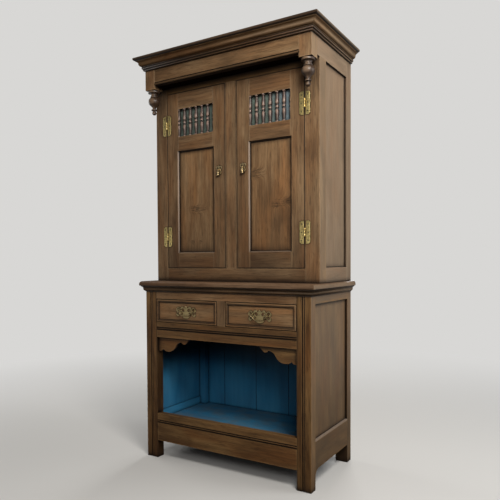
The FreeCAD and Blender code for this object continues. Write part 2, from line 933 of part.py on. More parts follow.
def shelf():
    level = base_top + shelf_height
    half = side_panel_inside - board_end_gap
    board = block((-half, upper_post_back, level - shelf_thickness),
                  (half, back_board_front, level))
    return board.cut(upper_notches())


def door_mullion():
    """The fixed post between the doors, beaded on both edges, and the stop strip behind it."""
    post = mullion.solid()
    edge = mullion_width / 2 - mullion_bead - mullion_quirk
    quirk = block((edge, upper_front - overrun, door_sill - overrun),
                  (edge + mullion_quirk, upper_front + mullion_quirk, door_head + overrun))
    back = upper_front + door_thickness
    strip = block((-stop_strip_width / 2, back + stop_gap, door_sill),
                  (stop_strip_width / 2, back + stop_gap + stop_strip_thickness, door_head))
    spacer = block((-mullion_width / 2, back, door_sill),
                   (mullion_width / 2, back + stop_gap, door_head))
    return [post.cut(pair(quirk)), strip.fuse(spacer).removeSplitter()]


def pendant_centre():
    return (half_width - corner_block_width / 2, frieze_front + corner_block_width / 2)


def pendant_tenon(slack):
    """The square tenon by which a pendant is held in its corner block."""
    x, y = pendant_centre()
    half = pendant_tenon_size / 2 + slack
    bottom = ceiling_level - corner_block_drop
    return block((x - half, y - half, bottom),
                 (x + half, y + half, bottom + pendant_tenon_length + slack))


def corner_pendant():
    """One turning: disc, neck, flattened ball, taper, ring and knop."""
    profile = [
        (pendant_disc_radius - pendant_disc_round, 0),
        (pendant_disc_radius, pendant_disc_round),
        (pendant_disc_radius, pendant_disc_height - pendant_disc_round),
        (pendant_disc_radius - pendant_disc_round, pendant_disc_height),
        (pendant_neck_radius + pendant_disc_round, pendant_disc_height),
        (pendant_neck_radius, pendant_neck_drop),
        (pendant_ball_end_radius, pendant_ball_top),
        (pendant_ball_end_radius, pendant_ball_bottom,
         pendant_ball_radius, (pendant_ball_top + pendant_ball_bottom) / 2),
        (pendant_taper_radius, pendant_taper_bottom,
         (pendant_ball_end_radius + pendant_taper_radius) / 2 - pendant_taper_hollow,
         (pendant_ball_bottom + pendant_taper_bottom) / 2),
        (pendant_ring_radius, pendant_ring_top),
        (pendant_ring_radius, pendant_ring_bottom),
        (pendant_taper_radius, pendant_knop_top),
        (pendant_tip_radius, pendant_knop_bottom,
         pendant_knop_radius, (pendant_knop_top + pendant_knop_bottom) / 2),
    ]
    start = Vector(*pendant_centre(), ceiling_level - corner_block_drop)
    return turned(profile, pendant_sides, start, -UP).fuse(pendant_tenon(0))


# Doors, as the right-hand one; the left-hand one is its mirror image
door_left_edge = mullion_width / 2 + door_gap
door_right_edge = upper_opening - door_gap
door_bottom = door_sill + door_gap
door_top = door_head - door_gap
door_back = upper_front + door_thickness
panel_left = door_left_edge + door_stile_width
panel_right = door_right_edge - door_stile_width
panel_bottom = door_bottom + door_bottom_rail_height
grille_top = door_top - door_top_rail_height
grille_bottom = grille_top - grille_height
panel_top = grille_bottom - door_middle_rail_height
hinge_axis_x = upper_opening - door_gap / 2
hinge_axis_y = upper_front - hinge_barrel_radius - hinge_barrel_lift
hinge_levels = (door_bottom + hinge_bottom_rise, door_top - hinge_top_drop)


def door_rail(bottom, top):
    return Member((panel_left, upper_front, bottom), (panel_right, door_back, top), X_WAY,
                  length=door_tenon_length, thickness=door_tenon_thickness,
                  shoulder=door_tenon_shoulder)


door_rails_spec = [door_rail(door_bottom, panel_bottom), door_rail(panel_top, grille_bottom),
                   door_rail(grille_top, door_top)]
door_panel_spec = Panel((panel_left, upper_front + door_panel_recess, panel_bottom),
                        (panel_right, upper_front + door_panel_recess + door_panel_thickness,
                         panel_top), Y_WAY)


def door_chamfer_cutter():
    """A frustum that chamfers the frame round the lower panel."""
    wires = []
    for margin, depth in ((door_chamfer, 0), (0, door_chamfer)):
        y = upper_front + depth
        corners = [
            Vector(panel_left - margin, y, panel_bottom - margin),
            Vector(panel_right + margin, y, panel_bottom - margin),
            Vector(panel_right + margin, y, panel_top + margin),
            Vector(panel_left - margin, y, panel_top + margin),
        ]
        wires.append(Part.makePolygon(corners + [corners[0]]))
    return Part.makeLoft(wires, True, True)


def grille_board_space(margin):
    """The painted board behind the grille, let into the back of the door."""
    lap = grille_board_lap + margin
    return block((panel_left - lap, door_back - grille_board_thickness, grille_bottom - lap),
                 (panel_right + lap, door_back, grille_top + lap))


def spindle_places():
    pitch = (panel_right - panel_left) / (spindle_count + 1)
    return [panel_left + pitch * i for i in range(spindle_count + 2)]


def door_stiles():
    cuts = mortises(door_rails_spec) + [door_panel_spec.groove(), door_chamfer_cutter(),
                                        grille_board_space(board_end_gap)]
    lock = block((door_left_edge, upper_front, door_bottom), (panel_left, door_back, door_top))
    hanging = block((panel_right, upper_front, door_bottom), (door_right_edge, door_back, door_top))
    return [lock.cut(cuts), hanging.cut(cuts)]


def door_rails():
    cuts = [door_panel_spec.groove(), door_chamfer_cutter(), grille_board_space(board_end_gap)]
    return [rail.solid().cut(cuts) for rail in door_rails_spec]


def spindle_outline():
    """A cap, a long swelling baluster and a ring, with the same again above the middle."""
    middle = grille_height / 2
    lower = [
        (spindle_cap_radius, 0),
        (spindle_cap_radius, spindle_cap_height),
        (spindle_neck_radius, spindle_neck_rise),
        (spindle_belly_radius, spindle_belly_rise),
        (spindle_waist_radius, spindle_waist_rise),
        (spindle_ring_radius, middle - spindle_ring_height / 2),
    ]
    return lower + [(radius, grille_height - rise) for radius, rise in reversed(lower)]


def door_spindles():
    """Full spindles across the grille, standing between the rails, and a half at each stile."""
    inside = block((panel_left, upper_front, grille_bottom), (panel_right, door_back, grille_top))
    pieces = []
    for x in spindle_places():
        foot = Vector(x, upper_front + spindle_setback, grille_bottom)
        pieces.append(turned(spindle_outline(), spindle_sides, foot).common(inside))
    return pieces


def hinge_leaf(outward, knuckles):
    """A leaf on one side of the pin (+1 case, -1 door), with its knuckles."""
    points = flattened(scaled(hinge_leaf_shares, hinge_leaf_width, hinge_leaf_height))
    plate = outline_face(points, lambda u, v: Vector(
        hinge_axis_x + outward * (hinge_leaf_offset + u), upper_front, v))
    pieces = []
    for low, high in knuckles:
        start = Vector(hinge_axis_x, hinge_axis_y, low)
        pieces.append(pin(hinge_barrel_radius, high - low, start, UP))
        near = hinge_axis_x
        far = hinge_axis_x + outward * (hinge_leaf_offset + hinge_neck_lap)
        pieces.append(block((min(near, far), upper_front - hinge_leaf_thickness, low),
                            (max(near, far), upper_front - hinge_barrel_lift, high)))
    return plate.extrude(OUTWARD * hinge_leaf_thickness).fuse(pieces)


def hinge_knuckles():
    """Levels of the case's two knuckles and the door's one, about the middle of a hinge."""
    half = hinge_knuckle_height / 2
    third = hinge_knuckle_height / 6
    gap = hinge_knuckle_gap
    return [(-half, -third - gap), (third + gap, half)], [(-third, third)]


def at_hinges(shape):
    """Copies of a piece at both hinges of the right-hand door."""
    return [shape.translated(Vector(0, 0, level)) for level in hinge_levels]


def case_hinges():
    """The fixed leaves of all four hinges, with the pins fixed in their knuckles."""
    foot = Vector(hinge_axis_x, hinge_axis_y, -hinge_knuckle_height / 2)
    leaf = hinge_leaf(1, hinge_knuckles()[0])
    leaf = leaf.fuse(pin(hinge_pin_radius, hinge_knuckle_height, foot, UP))
    right = at_hinges(leaf.removeSplitter())
    return right + [mirrored(piece) for piece in right]


def door_hinge_leaves():
    """The moving leaves, whose knuckles turn on the pins."""
    foot = Vector(hinge_axis_x, hinge_axis_y, -hinge_knuckle_height / 2)
    space = bore(hinge_pin_radius + hinge_running_clearance, hinge_knuckle_height, foot, UP)
    return at_hinges(hinge_leaf(-1, hinge_knuckles()[1]).cut(space).removeSplitter())


def pierced_plate(outline_shares, piercings, size, centre):
    """A thin plate on a front face, with a symmetrical outline and straight-sided piercings."""
    width, height, thickness = size
    outline = flattened(scaled(both_sides(outline_shares), width / 2, height))
    plate = outline_face(outline, lambda u, v: centre + Vector(u, 0, v))
    holes = []
    for piercing in piercings:
        for side in (-1, 1):
            corners = scaled(piercing, side * width / 2, height)
            face = outline_face(corners, lambda u, v: centre + Vector(u, 0, v))
            holes.append(face.extrude(OUTWARD * thickness))
    return plate.extrude(OUTWARD * thickness).cut(holes)


# Drop pulls: the plate's middle is on the middle of the meeting stile
pull_x = door_left_edge + door_stile_width / 2
pull_level = door_bottom + pull_height
pull_plate_face = upper_front - pull_plate_thickness
pull_stud_end = pull_plate_face - pull_stud_length
pull_axis_y = pull_stud_end + pull_pin_setback


def pull_plate():
    """A pierced plate with a forked stud, and the pin that the drop hangs on."""
    size = (pull_plate_width, pull_plate_height, pull_plate_thickness)
    plate = pierced_plate(pull_plate_shares, pull_piercing_shares, size,
                          Vector(pull_x, upper_front, pull_level))
    stud = pin(pull_stud_radius, pull_stud_length,
               Vector(pull_x, pull_plate_face, pull_level), OUTWARD)
    gap = block((pull_x - pull_fork_gap / 2, pull_stud_end - overrun, pull_level - overrun),
                (pull_x + pull_fork_gap / 2, pull_stud_end + pull_fork_depth,
                 pull_level + overrun))
    reach = pull_stud_radius - joint_clearance
    pivot = pin(pull_pin_radius, reach * 2,
                Vector(pull_x - reach, pull_axis_y, pull_level), ACROSS)
    return plate.fuse(stud.cut(gap)).fuse(pivot).removeSplitter()


def pull_drop():
    """The bell-shaped drop, with a flat tongue bored for the pin."""
    half = pull_tongue_thickness / 2
    start = Vector(pull_x - half, pull_axis_y, pull_level)
    eye = pin(pull_tongue_radius, pull_tongue_thickness, start, ACROSS)
    space = bore(pull_pin_radius + pull_running_clearance, pull_tongue_thickness, start, ACROSS)
    tongue = block((pull_x - half, pull_axis_y - pull_bell_top_radius / 2,
                    pull_level - pull_bell_drop),
                   (pull_x + half, pull_axis_y + pull_bell_top_radius / 2, pull_level))
    bell = turned([
        (pull_bell_top_radius, pull_bell_drop),
        (pull_bell_waist_radius, pull_bell_waist_drop),
        (pull_bell_radius, pull_drop_length - pull_bell_round * 2),
        (pull_bell_radius, pull_drop_length - pull_bell_round),
        (pull_bell_radius - pull_bell_round, pull_drop_length),
    ], drop_sides, Vector(pull_x, pull_axis_y, pull_level), -UP)
    return bell.fuse([eye, tongue]).cut(space).removeSplitter()


def drawer_edges():
    """Left and right edges of the right-hand drawer."""
    return drawer_divider_width / 2 + drawer_gap, base_opening - drawer_gap


drawer_left, drawer_right = drawer_edges()
drawer_face = base_front + drawer_face_setback
drawer_front_back = drawer_face + drawer_front_thickness
drawer_bottom_edge = drawer_sill + drawer_running_gap
drawer_top_edge = drawer_head - drawer_gap
drawer_box_back = back_rail_front - drawer_back_gap
drawer_side_top = drawer_top_edge - drawer_side_drop
drawer_board_level = drawer_bottom_edge + drawer_bottom_rise


def drawer_bottom_space():
    """The drawer's bottom board, which slides into grooves in the front and sides."""
    inner_left = drawer_left + drawer_side_thickness - drawer_bottom_groove
    inner_right = drawer_right - drawer_side_thickness + drawer_bottom_groove
    return ((inner_left, drawer_front_back - drawer_bottom_groove, drawer_board_level),
            (inner_right, drawer_box_back, drawer_board_level + drawer_bottom_thickness))


def dovetails(outer, inner, slack):
    """Tails on a side's front end, let into the back of the drawer's front."""
    height = drawer_side_top - drawer_bottom_edge
    pitch = height / dovetail_count
    tip = drawer_front_back - dovetail_length - slack
    tails = []
    for i in range(dovetail_count):
        middle = drawer_bottom_edge + pitch * (i + 0.5)
        root = pitch * dovetail_root_share + slack
        end = pitch * dovetail_tip_share + slack
        corners = [Vector(outer, drawer_front_back, middle - root), Vector(outer, tip, middle - end),
                   Vector(outer, tip, middle + end), Vector(outer, drawer_front_back, middle + root)]
        face = Part.Face(Part.makePolygon(corners + [corners[0]]))
        tails.append(face.extrude(Vector(inner - outer, 0, 0)))
    return tails


def drawer_bead():
    """The raised, rounded bead round the drawer's face."""
    low_x, high_x = drawer_left + drawer_bead_inset, drawer_right - drawer_bead_inset
    low_z, high_z = drawer_bottom_edge + drawer_bead_inset, drawer_top_edge - drawer_bead_inset
    outer = block((low_x, drawer_face - drawer_bead_height, low_z), (high_x, drawer_face, high_z))
    opening = grown((low_x, drawer_face, low_z), (high_x, drawer_face, high_z),
                    (-drawer_bead_width, overrun, -drawer_bead_width))
    frame = outer.cut(opening)
    front_y = drawer_face - drawer_bead_height
    rounds = [e for e in frame.Edges
              if all(abs(v.Point.y - front_y) < joint_clearance for v in e.Vertexes)]
    return frame.makeFillet(drawer_bead_round, rounds)


def drawer_front():
    board = block((drawer_left, drawer_face, drawer_bottom_edge),
                  (drawer_right, drawer_front_back, drawer_top_edge)).fuse(drawer_bead())
    low, high = drawer_bottom_space()
    cuts = [block(low, high)]
    cuts += dovetails(drawer_left, drawer_left + drawer_side_thickness, joint_clearance)
    cuts += dovetails(drawer_right, drawer_right - drawer_side_thickness, joint_clearance)
    return board.cut(cuts).removeSplitter()


def drawer_sides_and_back():
    """Two sides dovetailed into the front, and a back that stands on the bottom board."""
    groove = block(*drawer_bottom_space())
    pieces = []
    for outer, inner in ((drawer_left, drawer_left + drawer_side_thickness),
                         (drawer_right, drawer_right - drawer_side_thickness)):
        low_x, high_x = sorted((outer, inner))
        board = block((low_x, drawer_front_back, drawer_bottom_edge),
                      (high_x, drawer_box_back, drawer_side_top))
        pieces.append(board.fuse(dovetails(outer, inner, 0)).cut(groove).removeSplitter())
    back = block((drawer_left + drawer_side_thickness, drawer_box_back - drawer_back_thickness,
                  drawer_board_level + drawer_bottom_thickness),
                 (drawer_right - drawer_side_thickness, drawer_box_back, drawer_side_top))
    return pieces + [back]


# Handles: the plate is centred on the drawer's face
handle_x = (drawer_left + drawer_right) / 2
handle_level = (drawer_bottom_edge + drawer_top_edge) / 2
handle_plate_face = drawer_face - handle_plate_thickness
bail_level = handle_level + handle_post_rise
bail_axis_y = handle_plate_face - bail_axis_setback


def handle_plate():
    """A pierced plate with lobed wings, and the two bored posts that carry the bail."""
    size = (handle_plate_width, handle_plate_height, handle_plate_thickness)
    plate = pierced_plate(handle_plate_shares, handle_piercing_shares, size,
                          Vector(handle_x, drawer_face, handle_level))
    stem = handle_post_length - handle_post_head_height
    profile = [
        (handle_post_radius, 0),
        (handle_post_radius, stem),
        (handle_post_head_radius, stem + handle_post_head_height / 2),
        (handle_post_radius, handle_post_length),
    ]
    posts = []
    for side in (-1, 1):
        foot = Vector(handle_x + side * handle_post_spacing / 2, handle_plate_face, bail_level)
        posts.append(turned(profile, pin_sides, foot, OUTWARD))
    space = bore(bail_pin_radius + bail_running_clearance, handle_plate_width,
                 Vector(handle_x - handle_plate_width / 2, bail_axis_y, bail_level), ACROSS)
    return plate.fuse(posts).cut(space).removeSplitter()


def bail_ring(point, heading):
    """The corners of the bail's chamfered square section, across its line at a point."""
    half = bail_width / 2
    flat = half - bail_chamfer
    aside = Vector(-math.sin(heading), 0, math.cos(heading))
    corners = [(half, flat), (flat, half), (-flat, half), (-half, flat),
               (-half, -flat), (-flat, -half), (flat, -half), (half, -flat)]
    return [point + aside * a + OUTWARD * b for a, b in corners]


def bail_line(point):
    """Sections along the right-hand half of the bail, from its eye to the middle."""
    heading = -math.pi / 2
    rings = [bail_ring(point, heading)]
    point = point - UP * bail_drop
    rings.append(bail_ring(point, heading))
    for radius, turn in zip(bail_bend_radii, bail_bend_turns):
        side = math.copysign(1, turn)
        centre = point + Vector(-math.sin(heading), 0, math.cos(heading)) * (radius * side)
        steps = math.ceil(abs(turn) / flat_turn)
        step = FreeCAD.Rotation(OUTWARD, turn / steps)
        for _ in range(steps):
            point = centre + step.multVec(point - centre)
            heading += math.radians(turn / steps)
            rings.append(bail_ring(point, heading))
    rings.append(bail_ring(Vector(handle_x, point.y, point.z), heading))
    return rings


def bail():
    """A swan-necked bail: eyes beside the posts, pins through them, and a line bent between."""
    post_side = handle_post_spacing / 2 + handle_post_head_radius + bail_post_gap
    pin_start = handle_post_spacing / 2 - handle_post_radius - bail_pin_end
    eye = pin(bail_eye_radius, bail_width,
              Vector(handle_x + post_side, bail_axis_y, bail_level), ACROSS)
    pivot = pin(bail_pin_radius, post_side - pin_start,
                Vector(handle_x + pin_start, bail_axis_y, bail_level), ACROSS)
    line = skinned(bail_line(Vector(handle_x + post_side + bail_width / 2, bail_axis_y,
                                    bail_level)))
    half = line.fuse([eye, pivot])
    other = half.mirror(Vector(handle_x, 0, 0), ACROSS)
    return half.fuse(other).removeSplitter()


def door_nodes():
    """The pieces of the right-hand door by name."""
    return {
        "stiles": door_stiles(),
        "rails": door_rails(),
        "panel": [door_panel_spec.solid()],
        "spindles": door_spindles(),
        "grille_board": [grille_board_space(0)],
        "hinge_leaves": door_hinge_leaves(),
        "pull_plate": [pull_plate()],
        "pull_drop": [pull_drop()],
    }


def drawer_nodes():
    """The pieces of the right-hand drawer by name."""
    return {
        "front": [drawer_front()],
        "box": drawer_sides_and_back() + [block(*drawer_bottom_space())],
        "handle_plate": [handle_plate()],
        "bail": [bail()],
    }


def case_nodes():
    """The fixed pieces of both cases by name."""
    return {
        "base_front_posts": pair(base_front_post()),
        "base_back_posts": pair(base_back_post()),
        "base_side_panels": pair(base_side_panel.solid()),
        "base_side_rails": base_side_rails(),
        "base_front_top_rail": [base_top_rail.solid().cut(drawer_divider.mortises())],
        "drawer_divider": [drawer_divider.solid()],
        "drawer_rail": [drawer_blade()],
        "base_front_bottom_rail": [base_front_bottom_rail()],
        "niche_brackets": pair(niche_bracket()),
        "base_back_rails": [rail.solid() for rail in base_back_rails],
        "base_back_boards": back_boards(leg_height, base_frame_top),
        "niche_floor": niche_floor_board_row(),
        "dust_board": [dust_board()],
        "drawer_runners": drawer_runners(),
        "board_bearers": board_bearers(),
        "base_top_board": [base_top_board()],
        "waist_bed_moulding": waist_bed_moulding(),
        "upper_front_posts": pair(upper_front_post()),
        "upper_back_posts": pair(upper_back_post()),
        "upper_side_panels": pair(upper_side_panel.solid()),
        "upper_side_rails": upper_side_rails(),
        "upper_front_bottom_rail": [upper_bottom_rail.solid().cut(mullion.mortises())],
        "upper_front_top_rail": [upper_top_rail.solid().cut(mullion.mortises())],
        "door_mullion": door_mullion(),
        "upper_back_rails": [rail.solid() for rail in upper_back_rails],
        "upper_back_boards": back_boards(base_top, upper_frame_top),
        "upper_floor": [upper_floor_board()],
        "shelf": [shelf()],
        "ceiling_board": [ceiling_board()],
        "frieze_board": [frieze_board()],
        "frieze_corner_blocks": pair(corner_block()),
        "corner_pendants": pair(corner_pendant()),
        "cornice_bed_moulding": cornice_bed_moulding(),
        "cornice_cyma": cornice_cyma(),
        "cornice_top_board": [cornice_top_board()],
        "case_hinges": case_hinges(),
    }


def export(name, solids):
    shape = solids[0] if len(solids) == 1 else Part.makeCompound(solids)
    shape.exportStep("parts/" + name + ".step")


os.makedirs("parts", exist_ok=True)
for name, solids in case_nodes().items():
    export(name, solids)
for prefix, nodes in (("door", door_nodes()), ("drawer", drawer_nodes())):
    for name, solids in nodes.items():
        export(prefix + "_right_" + name, solids)
        export(prefix + "_left_" + name, [mirrored(solid) for solid in solids])
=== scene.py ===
import cmath
import functools
import math

import bmesh
import bpy
from mathutils import Matrix, Vector


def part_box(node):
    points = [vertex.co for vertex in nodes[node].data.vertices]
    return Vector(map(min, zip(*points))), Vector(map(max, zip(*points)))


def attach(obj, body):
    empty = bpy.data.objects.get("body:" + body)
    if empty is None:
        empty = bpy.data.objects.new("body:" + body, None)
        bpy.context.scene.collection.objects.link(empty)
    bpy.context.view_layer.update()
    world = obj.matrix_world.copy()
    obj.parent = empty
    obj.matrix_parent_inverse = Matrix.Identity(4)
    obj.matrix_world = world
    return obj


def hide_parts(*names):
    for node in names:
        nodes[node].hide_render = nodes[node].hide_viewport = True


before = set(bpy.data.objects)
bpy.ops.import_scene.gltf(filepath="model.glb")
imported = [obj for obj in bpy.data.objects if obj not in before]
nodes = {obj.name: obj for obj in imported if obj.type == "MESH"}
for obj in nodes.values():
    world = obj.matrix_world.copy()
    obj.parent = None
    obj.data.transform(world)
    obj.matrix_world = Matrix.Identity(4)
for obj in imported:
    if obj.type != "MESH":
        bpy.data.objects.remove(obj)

# A joined oak court cupboard in metres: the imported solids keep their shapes, and this script adds
# the finishes, the turned and brass pieces as smooth meshes, the small fasteners and the light.

MM = 0.001
for name in ("Cube", "Light", "Camera"):
    if name in bpy.data.objects:
        bpy.data.objects.remove(bpy.data.objects[name])
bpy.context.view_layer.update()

# Camera of the photograph
focal_length_px = 540.667
picture_width_px = 500.0
principal_row_px = 277.12
camera_place = Vector((1339.7, -2160.9, 937.0)) * MM
camera_yaw = 0.5459
camera_pitch = -0.0300
camera_roll = -0.0050

# Driving sizes of the pieces that are made here, in millimetres; the size of a plate is its
# width, height and thickness
case_half_width = 433.0
door_face = -116.0
hinge_axis_x = 366.25
hinge_axis_y = -119.8
hinge_levels = (1055.0, 1588.0)
hinge_leaf_offset = 5.0
hinge_leaf_width = 19.0
hinge_leaf_height = 95.0
hinge_leaf_thickness = 2.2
hinge_knuckle_height = 36.0
hinge_barrel_radius = 3.6
pull_x = 64.5
pull_level = 1352.0
pull_axis_y = -124.6
pull_plate_size = (34.0, 46.0, 1.6)
drawer_x = 195.5
drawer_face = -200.0
handle_level = 704.55
handle_plate_size = (114.0, 60.0, 1.8)
handle_post_spacing = 64.0
bail_level = 711.55
bail_axis_y = -210.8
bail_radius = 2.3

# Where dirt, dark joints, painted shade and painted highlight lie on the carried-over solids, in
# millimetres
gap_dirt = 3.0
bead_light = 6.0
bead_dark = 15.5
reed_margin = 2.0
reed_width = 14.0
drawer_rail_reed_drop = 23.0
bottom_rail_reed_drop = 32.0
base_opening = 369.0
post_dirt = 5.0
side_rail_top = 204.0
side_rail_rub_height = 6.0
frieze_bead_height = 15.0
back_joints = (-270.0, -75.0, 112.5, 300.0)
joint_dirt = 1.6
foot_dirt = 2.0
foot_dirt_top = 160.0
panel_tongue = 9.0


def srgb(*tone):
    """A colour as it shows on a screen, 0 to 255, turned into linear light."""
    shares = [value / 255.0 for value in tone]
    linear = [share / 12.92 if share <= 0.04045 else ((share + 0.055) / 1.055) ** 2.4
              for share in shares]
    return (*linear, 1.0)


def linear_tones(table):
    """A table of tones as they show on a screen, turned into linear light."""
    return {name: tuple(srgb(*tone) for tone in tones) for name, tones in table.items()}


# Colours: dark, middle, light and warm for each kind of oak; low, post and deep are darker copies
# that paint in shade low down and under the frieze, and side is a paler copy that paints in light
oak_tones = linear_tones({
    "front": ((42, 29, 19), (114, 86, 59), (146, 118, 86), (133, 93, 58)),
    "panel": ((48, 33, 22), (126, 95, 64), (154, 123, 88), (152, 107, 66)),
    "low": ((34, 22, 12), (94, 67, 40), (130, 99, 62), (116, 75, 40)),
    "moulding": ((34, 23, 13), (82, 59, 38), (116, 89, 60), (98, 65, 38)),
    "turned": ((24, 16, 12), (62, 46, 34), (122, 99, 78), (78, 54, 38)),
    "cyma": ((36, 25, 15), (92, 68, 45), (114, 88, 60), (108, 72, 43)),
    "post": ((26, 16, 8), (88, 61, 34), (138, 104, 64), (108, 70, 36)),
    "waist": ((40, 29, 21), (100, 75, 54), (134, 107, 82), (108, 77, 52)),
    "deep": ((22, 14, 9), (54, 38, 25), (92, 71, 52), (66, 43, 27)),
    "side": ((68, 51, 36), (124, 99, 77), (153, 130, 106), (136, 99, 69)),
    "inner": ((84, 63, 42), (136, 108, 76), (160, 132, 96), (146, 108, 70)),
    "spindle": ((18, 13, 12), (42, 31, 27), (164, 136, 120), (62, 40, 31)),
})
# Pale tone of the painted sheen of side light on the outer sides
faded_tone = srgb(146, 129, 106)
# Pale tone of the painted highlights on chamfers and along the side rail's top edge
rubbed_tone = srgb(158, 140, 124)
blue_light = srgb(58, 132, 170)
blue_dark = srgb(36, 102, 140)
niche_dust = srgb(104, 108, 104)
# Near-black tint of the painted shade in the niche
niche_soot = srgb(4, 9, 13)
grille_green = srgb(116, 130, 120)
grille_blue = srgb(120, 136, 142)
backdrop_tone = srgb(216, 215, 213)
floor_tone = srgb(210, 208, 204)
floor_bounce = srgb(120, 114, 106)
# Dark tint for real dirt and for painted shade in corners, under ledges and on faces turned from
# the light
dirt_tint = srgb(20, 12, 7)

# Colours of brass: rubbed, dull and in the hollows
brass_tones = linear_tones({
    "hinge": ((242, 220, 150), (152, 119, 60), (40, 28, 12)),
    "handle": ((188, 168, 122), (40, 29, 15), (10, 7, 4)),
    "bronze": ((206, 182, 136), (92, 72, 46), (24, 16, 9)),
    "iron": ((84, 76, 62), (52, 45, 36), (20, 15, 10)),
})

AXES = {"X": 0, "Y": 1, "Z": 2}

# Farther out than any face of the cupboard, in metres
BEYOND = 2.0


def add_node(tree, kind, inputs=None, **settings):
    """A node with its settings, its values and its links."""
    node = tree.nodes.new(kind)
    for key, value in settings.items():
        setattr(node, key, value)
    for key, value in (inputs or {}).items():
        if isinstance(value, bpy.types.NodeSocket):
            tree.links.new(value, node.inputs[key])
        else:
            node.inputs[key].default_value = value
    return node


class Look:
    """A material's nodes as nested calls; colour holds what has been laid so far."""

    def __init__(self, name):
        self.material = bpy.data.materials.new(name)
        self.material.use_nodes = True
        self.tree = self.material.node_tree
        self.tree.nodes.clear()
        coordinates = self.add("TexCoord")
        self.place = coordinates.outputs["Object"]
        normal = coordinates.outputs["Normal"]
        self.facing = self.add("SeparateXYZ", {"Vector": normal}).outputs
        self.colour = None

    def add(self, kind, inputs=None, **settings):
        return add_node(self.tree, "ShaderNode" + kind, inputs, **settings)

    def at(self, axis):
        """The place along an axis of the row's frame."""
        return self.add("SeparateXYZ", {"Vector": self.place}).outputs[axis]

    def mapped(self, scale, offset):
        return self.add("Mapping", {
            "Vector": self.place, "Scale": scale, "Location": offset}).outputs[0]

    def noise(self, scale, detail=2.0, roughness=0.5, distortion=0.0, offset=(0, 0, 0)):
        return self.add("TexNoise", {
            "Vector": self.mapped(scale, offset), "Scale": 1.0, "Detail": detail,
            "Roughness": roughness, "Distortion": distortion}).outputs["Fac"]

    def clouds(self, scale, detail=2.0, roughness=0.5):
        return self.noise((scale, scale, scale), detail, roughness)

    def ramp(self, value, low, high, start=0.0, end=1.0, run="LINEAR"):
        """A value from low to high turned into one from start to end, and held beyond."""
        return self.add("MapRange", {
            "Value": value, "From Min": low, "From Max": high, "To Min": start,
            "To Max": end}, interpolation_type=run).outputs["Result"]

    def maths(self, operation, first, second=0.0):
        return self.add("Math", {0: first, 1: second}, operation=operation).outputs[0]

    def times(self, *factors):
        product = factors[0]
        for factor in factors[1:]:
            product = self.maths("MULTIPLY", product, factor)
        return product

    def most(self, *values):
        largest = values[0]
        for value in values[1:]:
            largest = self.maths("MAXIMUM", largest, value)
        return largest

    def vector(self, operation, first, second):
        return self.add("VectorMath", {0: first, 1: second}, operation=operation).outputs[0]

    def mix(self, amount, first, second):
        return self.add("Mix", {0: amount, 6: first, 7: second}, data_type="RGBA").outputs[2]

    def tint(self, tone, mask, depth):
        """Lays a tone over the colour so far where a mask is high."""
        self.colour = self.mix(self.times(mask, depth), self.colour, tone)

    def streak(self, tone, pattern, low, high, depth):
        """Lays a tone over the colour so far where a pattern runs from low to high."""
        self.tint(tone, self.ramp(pattern, low, high), depth)

    def corners(self, reach, low, high, **settings):
        """1 in corners and hollows as wide as a reach, and 0 in the open."""
        openness = self.add("AmbientOcclusion", {"Distance": reach}, samples=6,
                            **settings).outputs["AO"]
        return self.ramp(openness, low, high)

    def arrises(self, reach, low):
        """1 along the piece's own outer edges."""
        return self.corners(reach, low, 0.60, inside=True, only_local=True)

    def bend(self, centre, size, push):
        """Leads the grain round a knot: the pattern steps aside within an ellipse."""
        spread = self.vector("DIVIDE", self.vector("SUBTRACT", self.place, centre), size)
        reach = self.add("VectorMath", {0: spread}, operation="LENGTH")
        share = self.ramp(reach.outputs["Value"], 1.0, 0.0, run="SMOOTHERSTEP")
        shift = self.add("VectorMath", {0: push, "Scale": share}, operation="SCALE")
        self.place = self.vector("ADD", self.place, shift.outputs[0])
        return share

    def within(self, low, high):
        """1 inside a box of the row's frame and 0 outside."""
        sides = []
        for axis, place in AXES.items():
            sides.append(self.maths("GREATER_THAN", self.at(axis), low[place]))
            sides.append(self.maths("LESS_THAN", self.at(axis), high[place]))
        return self.times(*sides)

    def surface(self, roughness, height, bump, depth, **fixed):
        inputs = {"Base Color": self.colour, "Roughness": roughness}
        inputs.update({key.replace("_", " "): value for key, value in fixed.items()})
        inputs["Normal"] = self.add("Bump", {
            "Height": height, "Strength": bump, "Distance": depth}).outputs["Normal"]
        shader = self.add("BsdfPrincipled", inputs)
        self.add("OutputMaterial", {"Surface": shader.outputs[0]})
        return self.material


def along(axis, across, length):
    """A scale for a pattern that is drawn out along the grain."""
    scale = [across, across, across]
    scale[AXES[axis]] = length
    return tuple(scale)


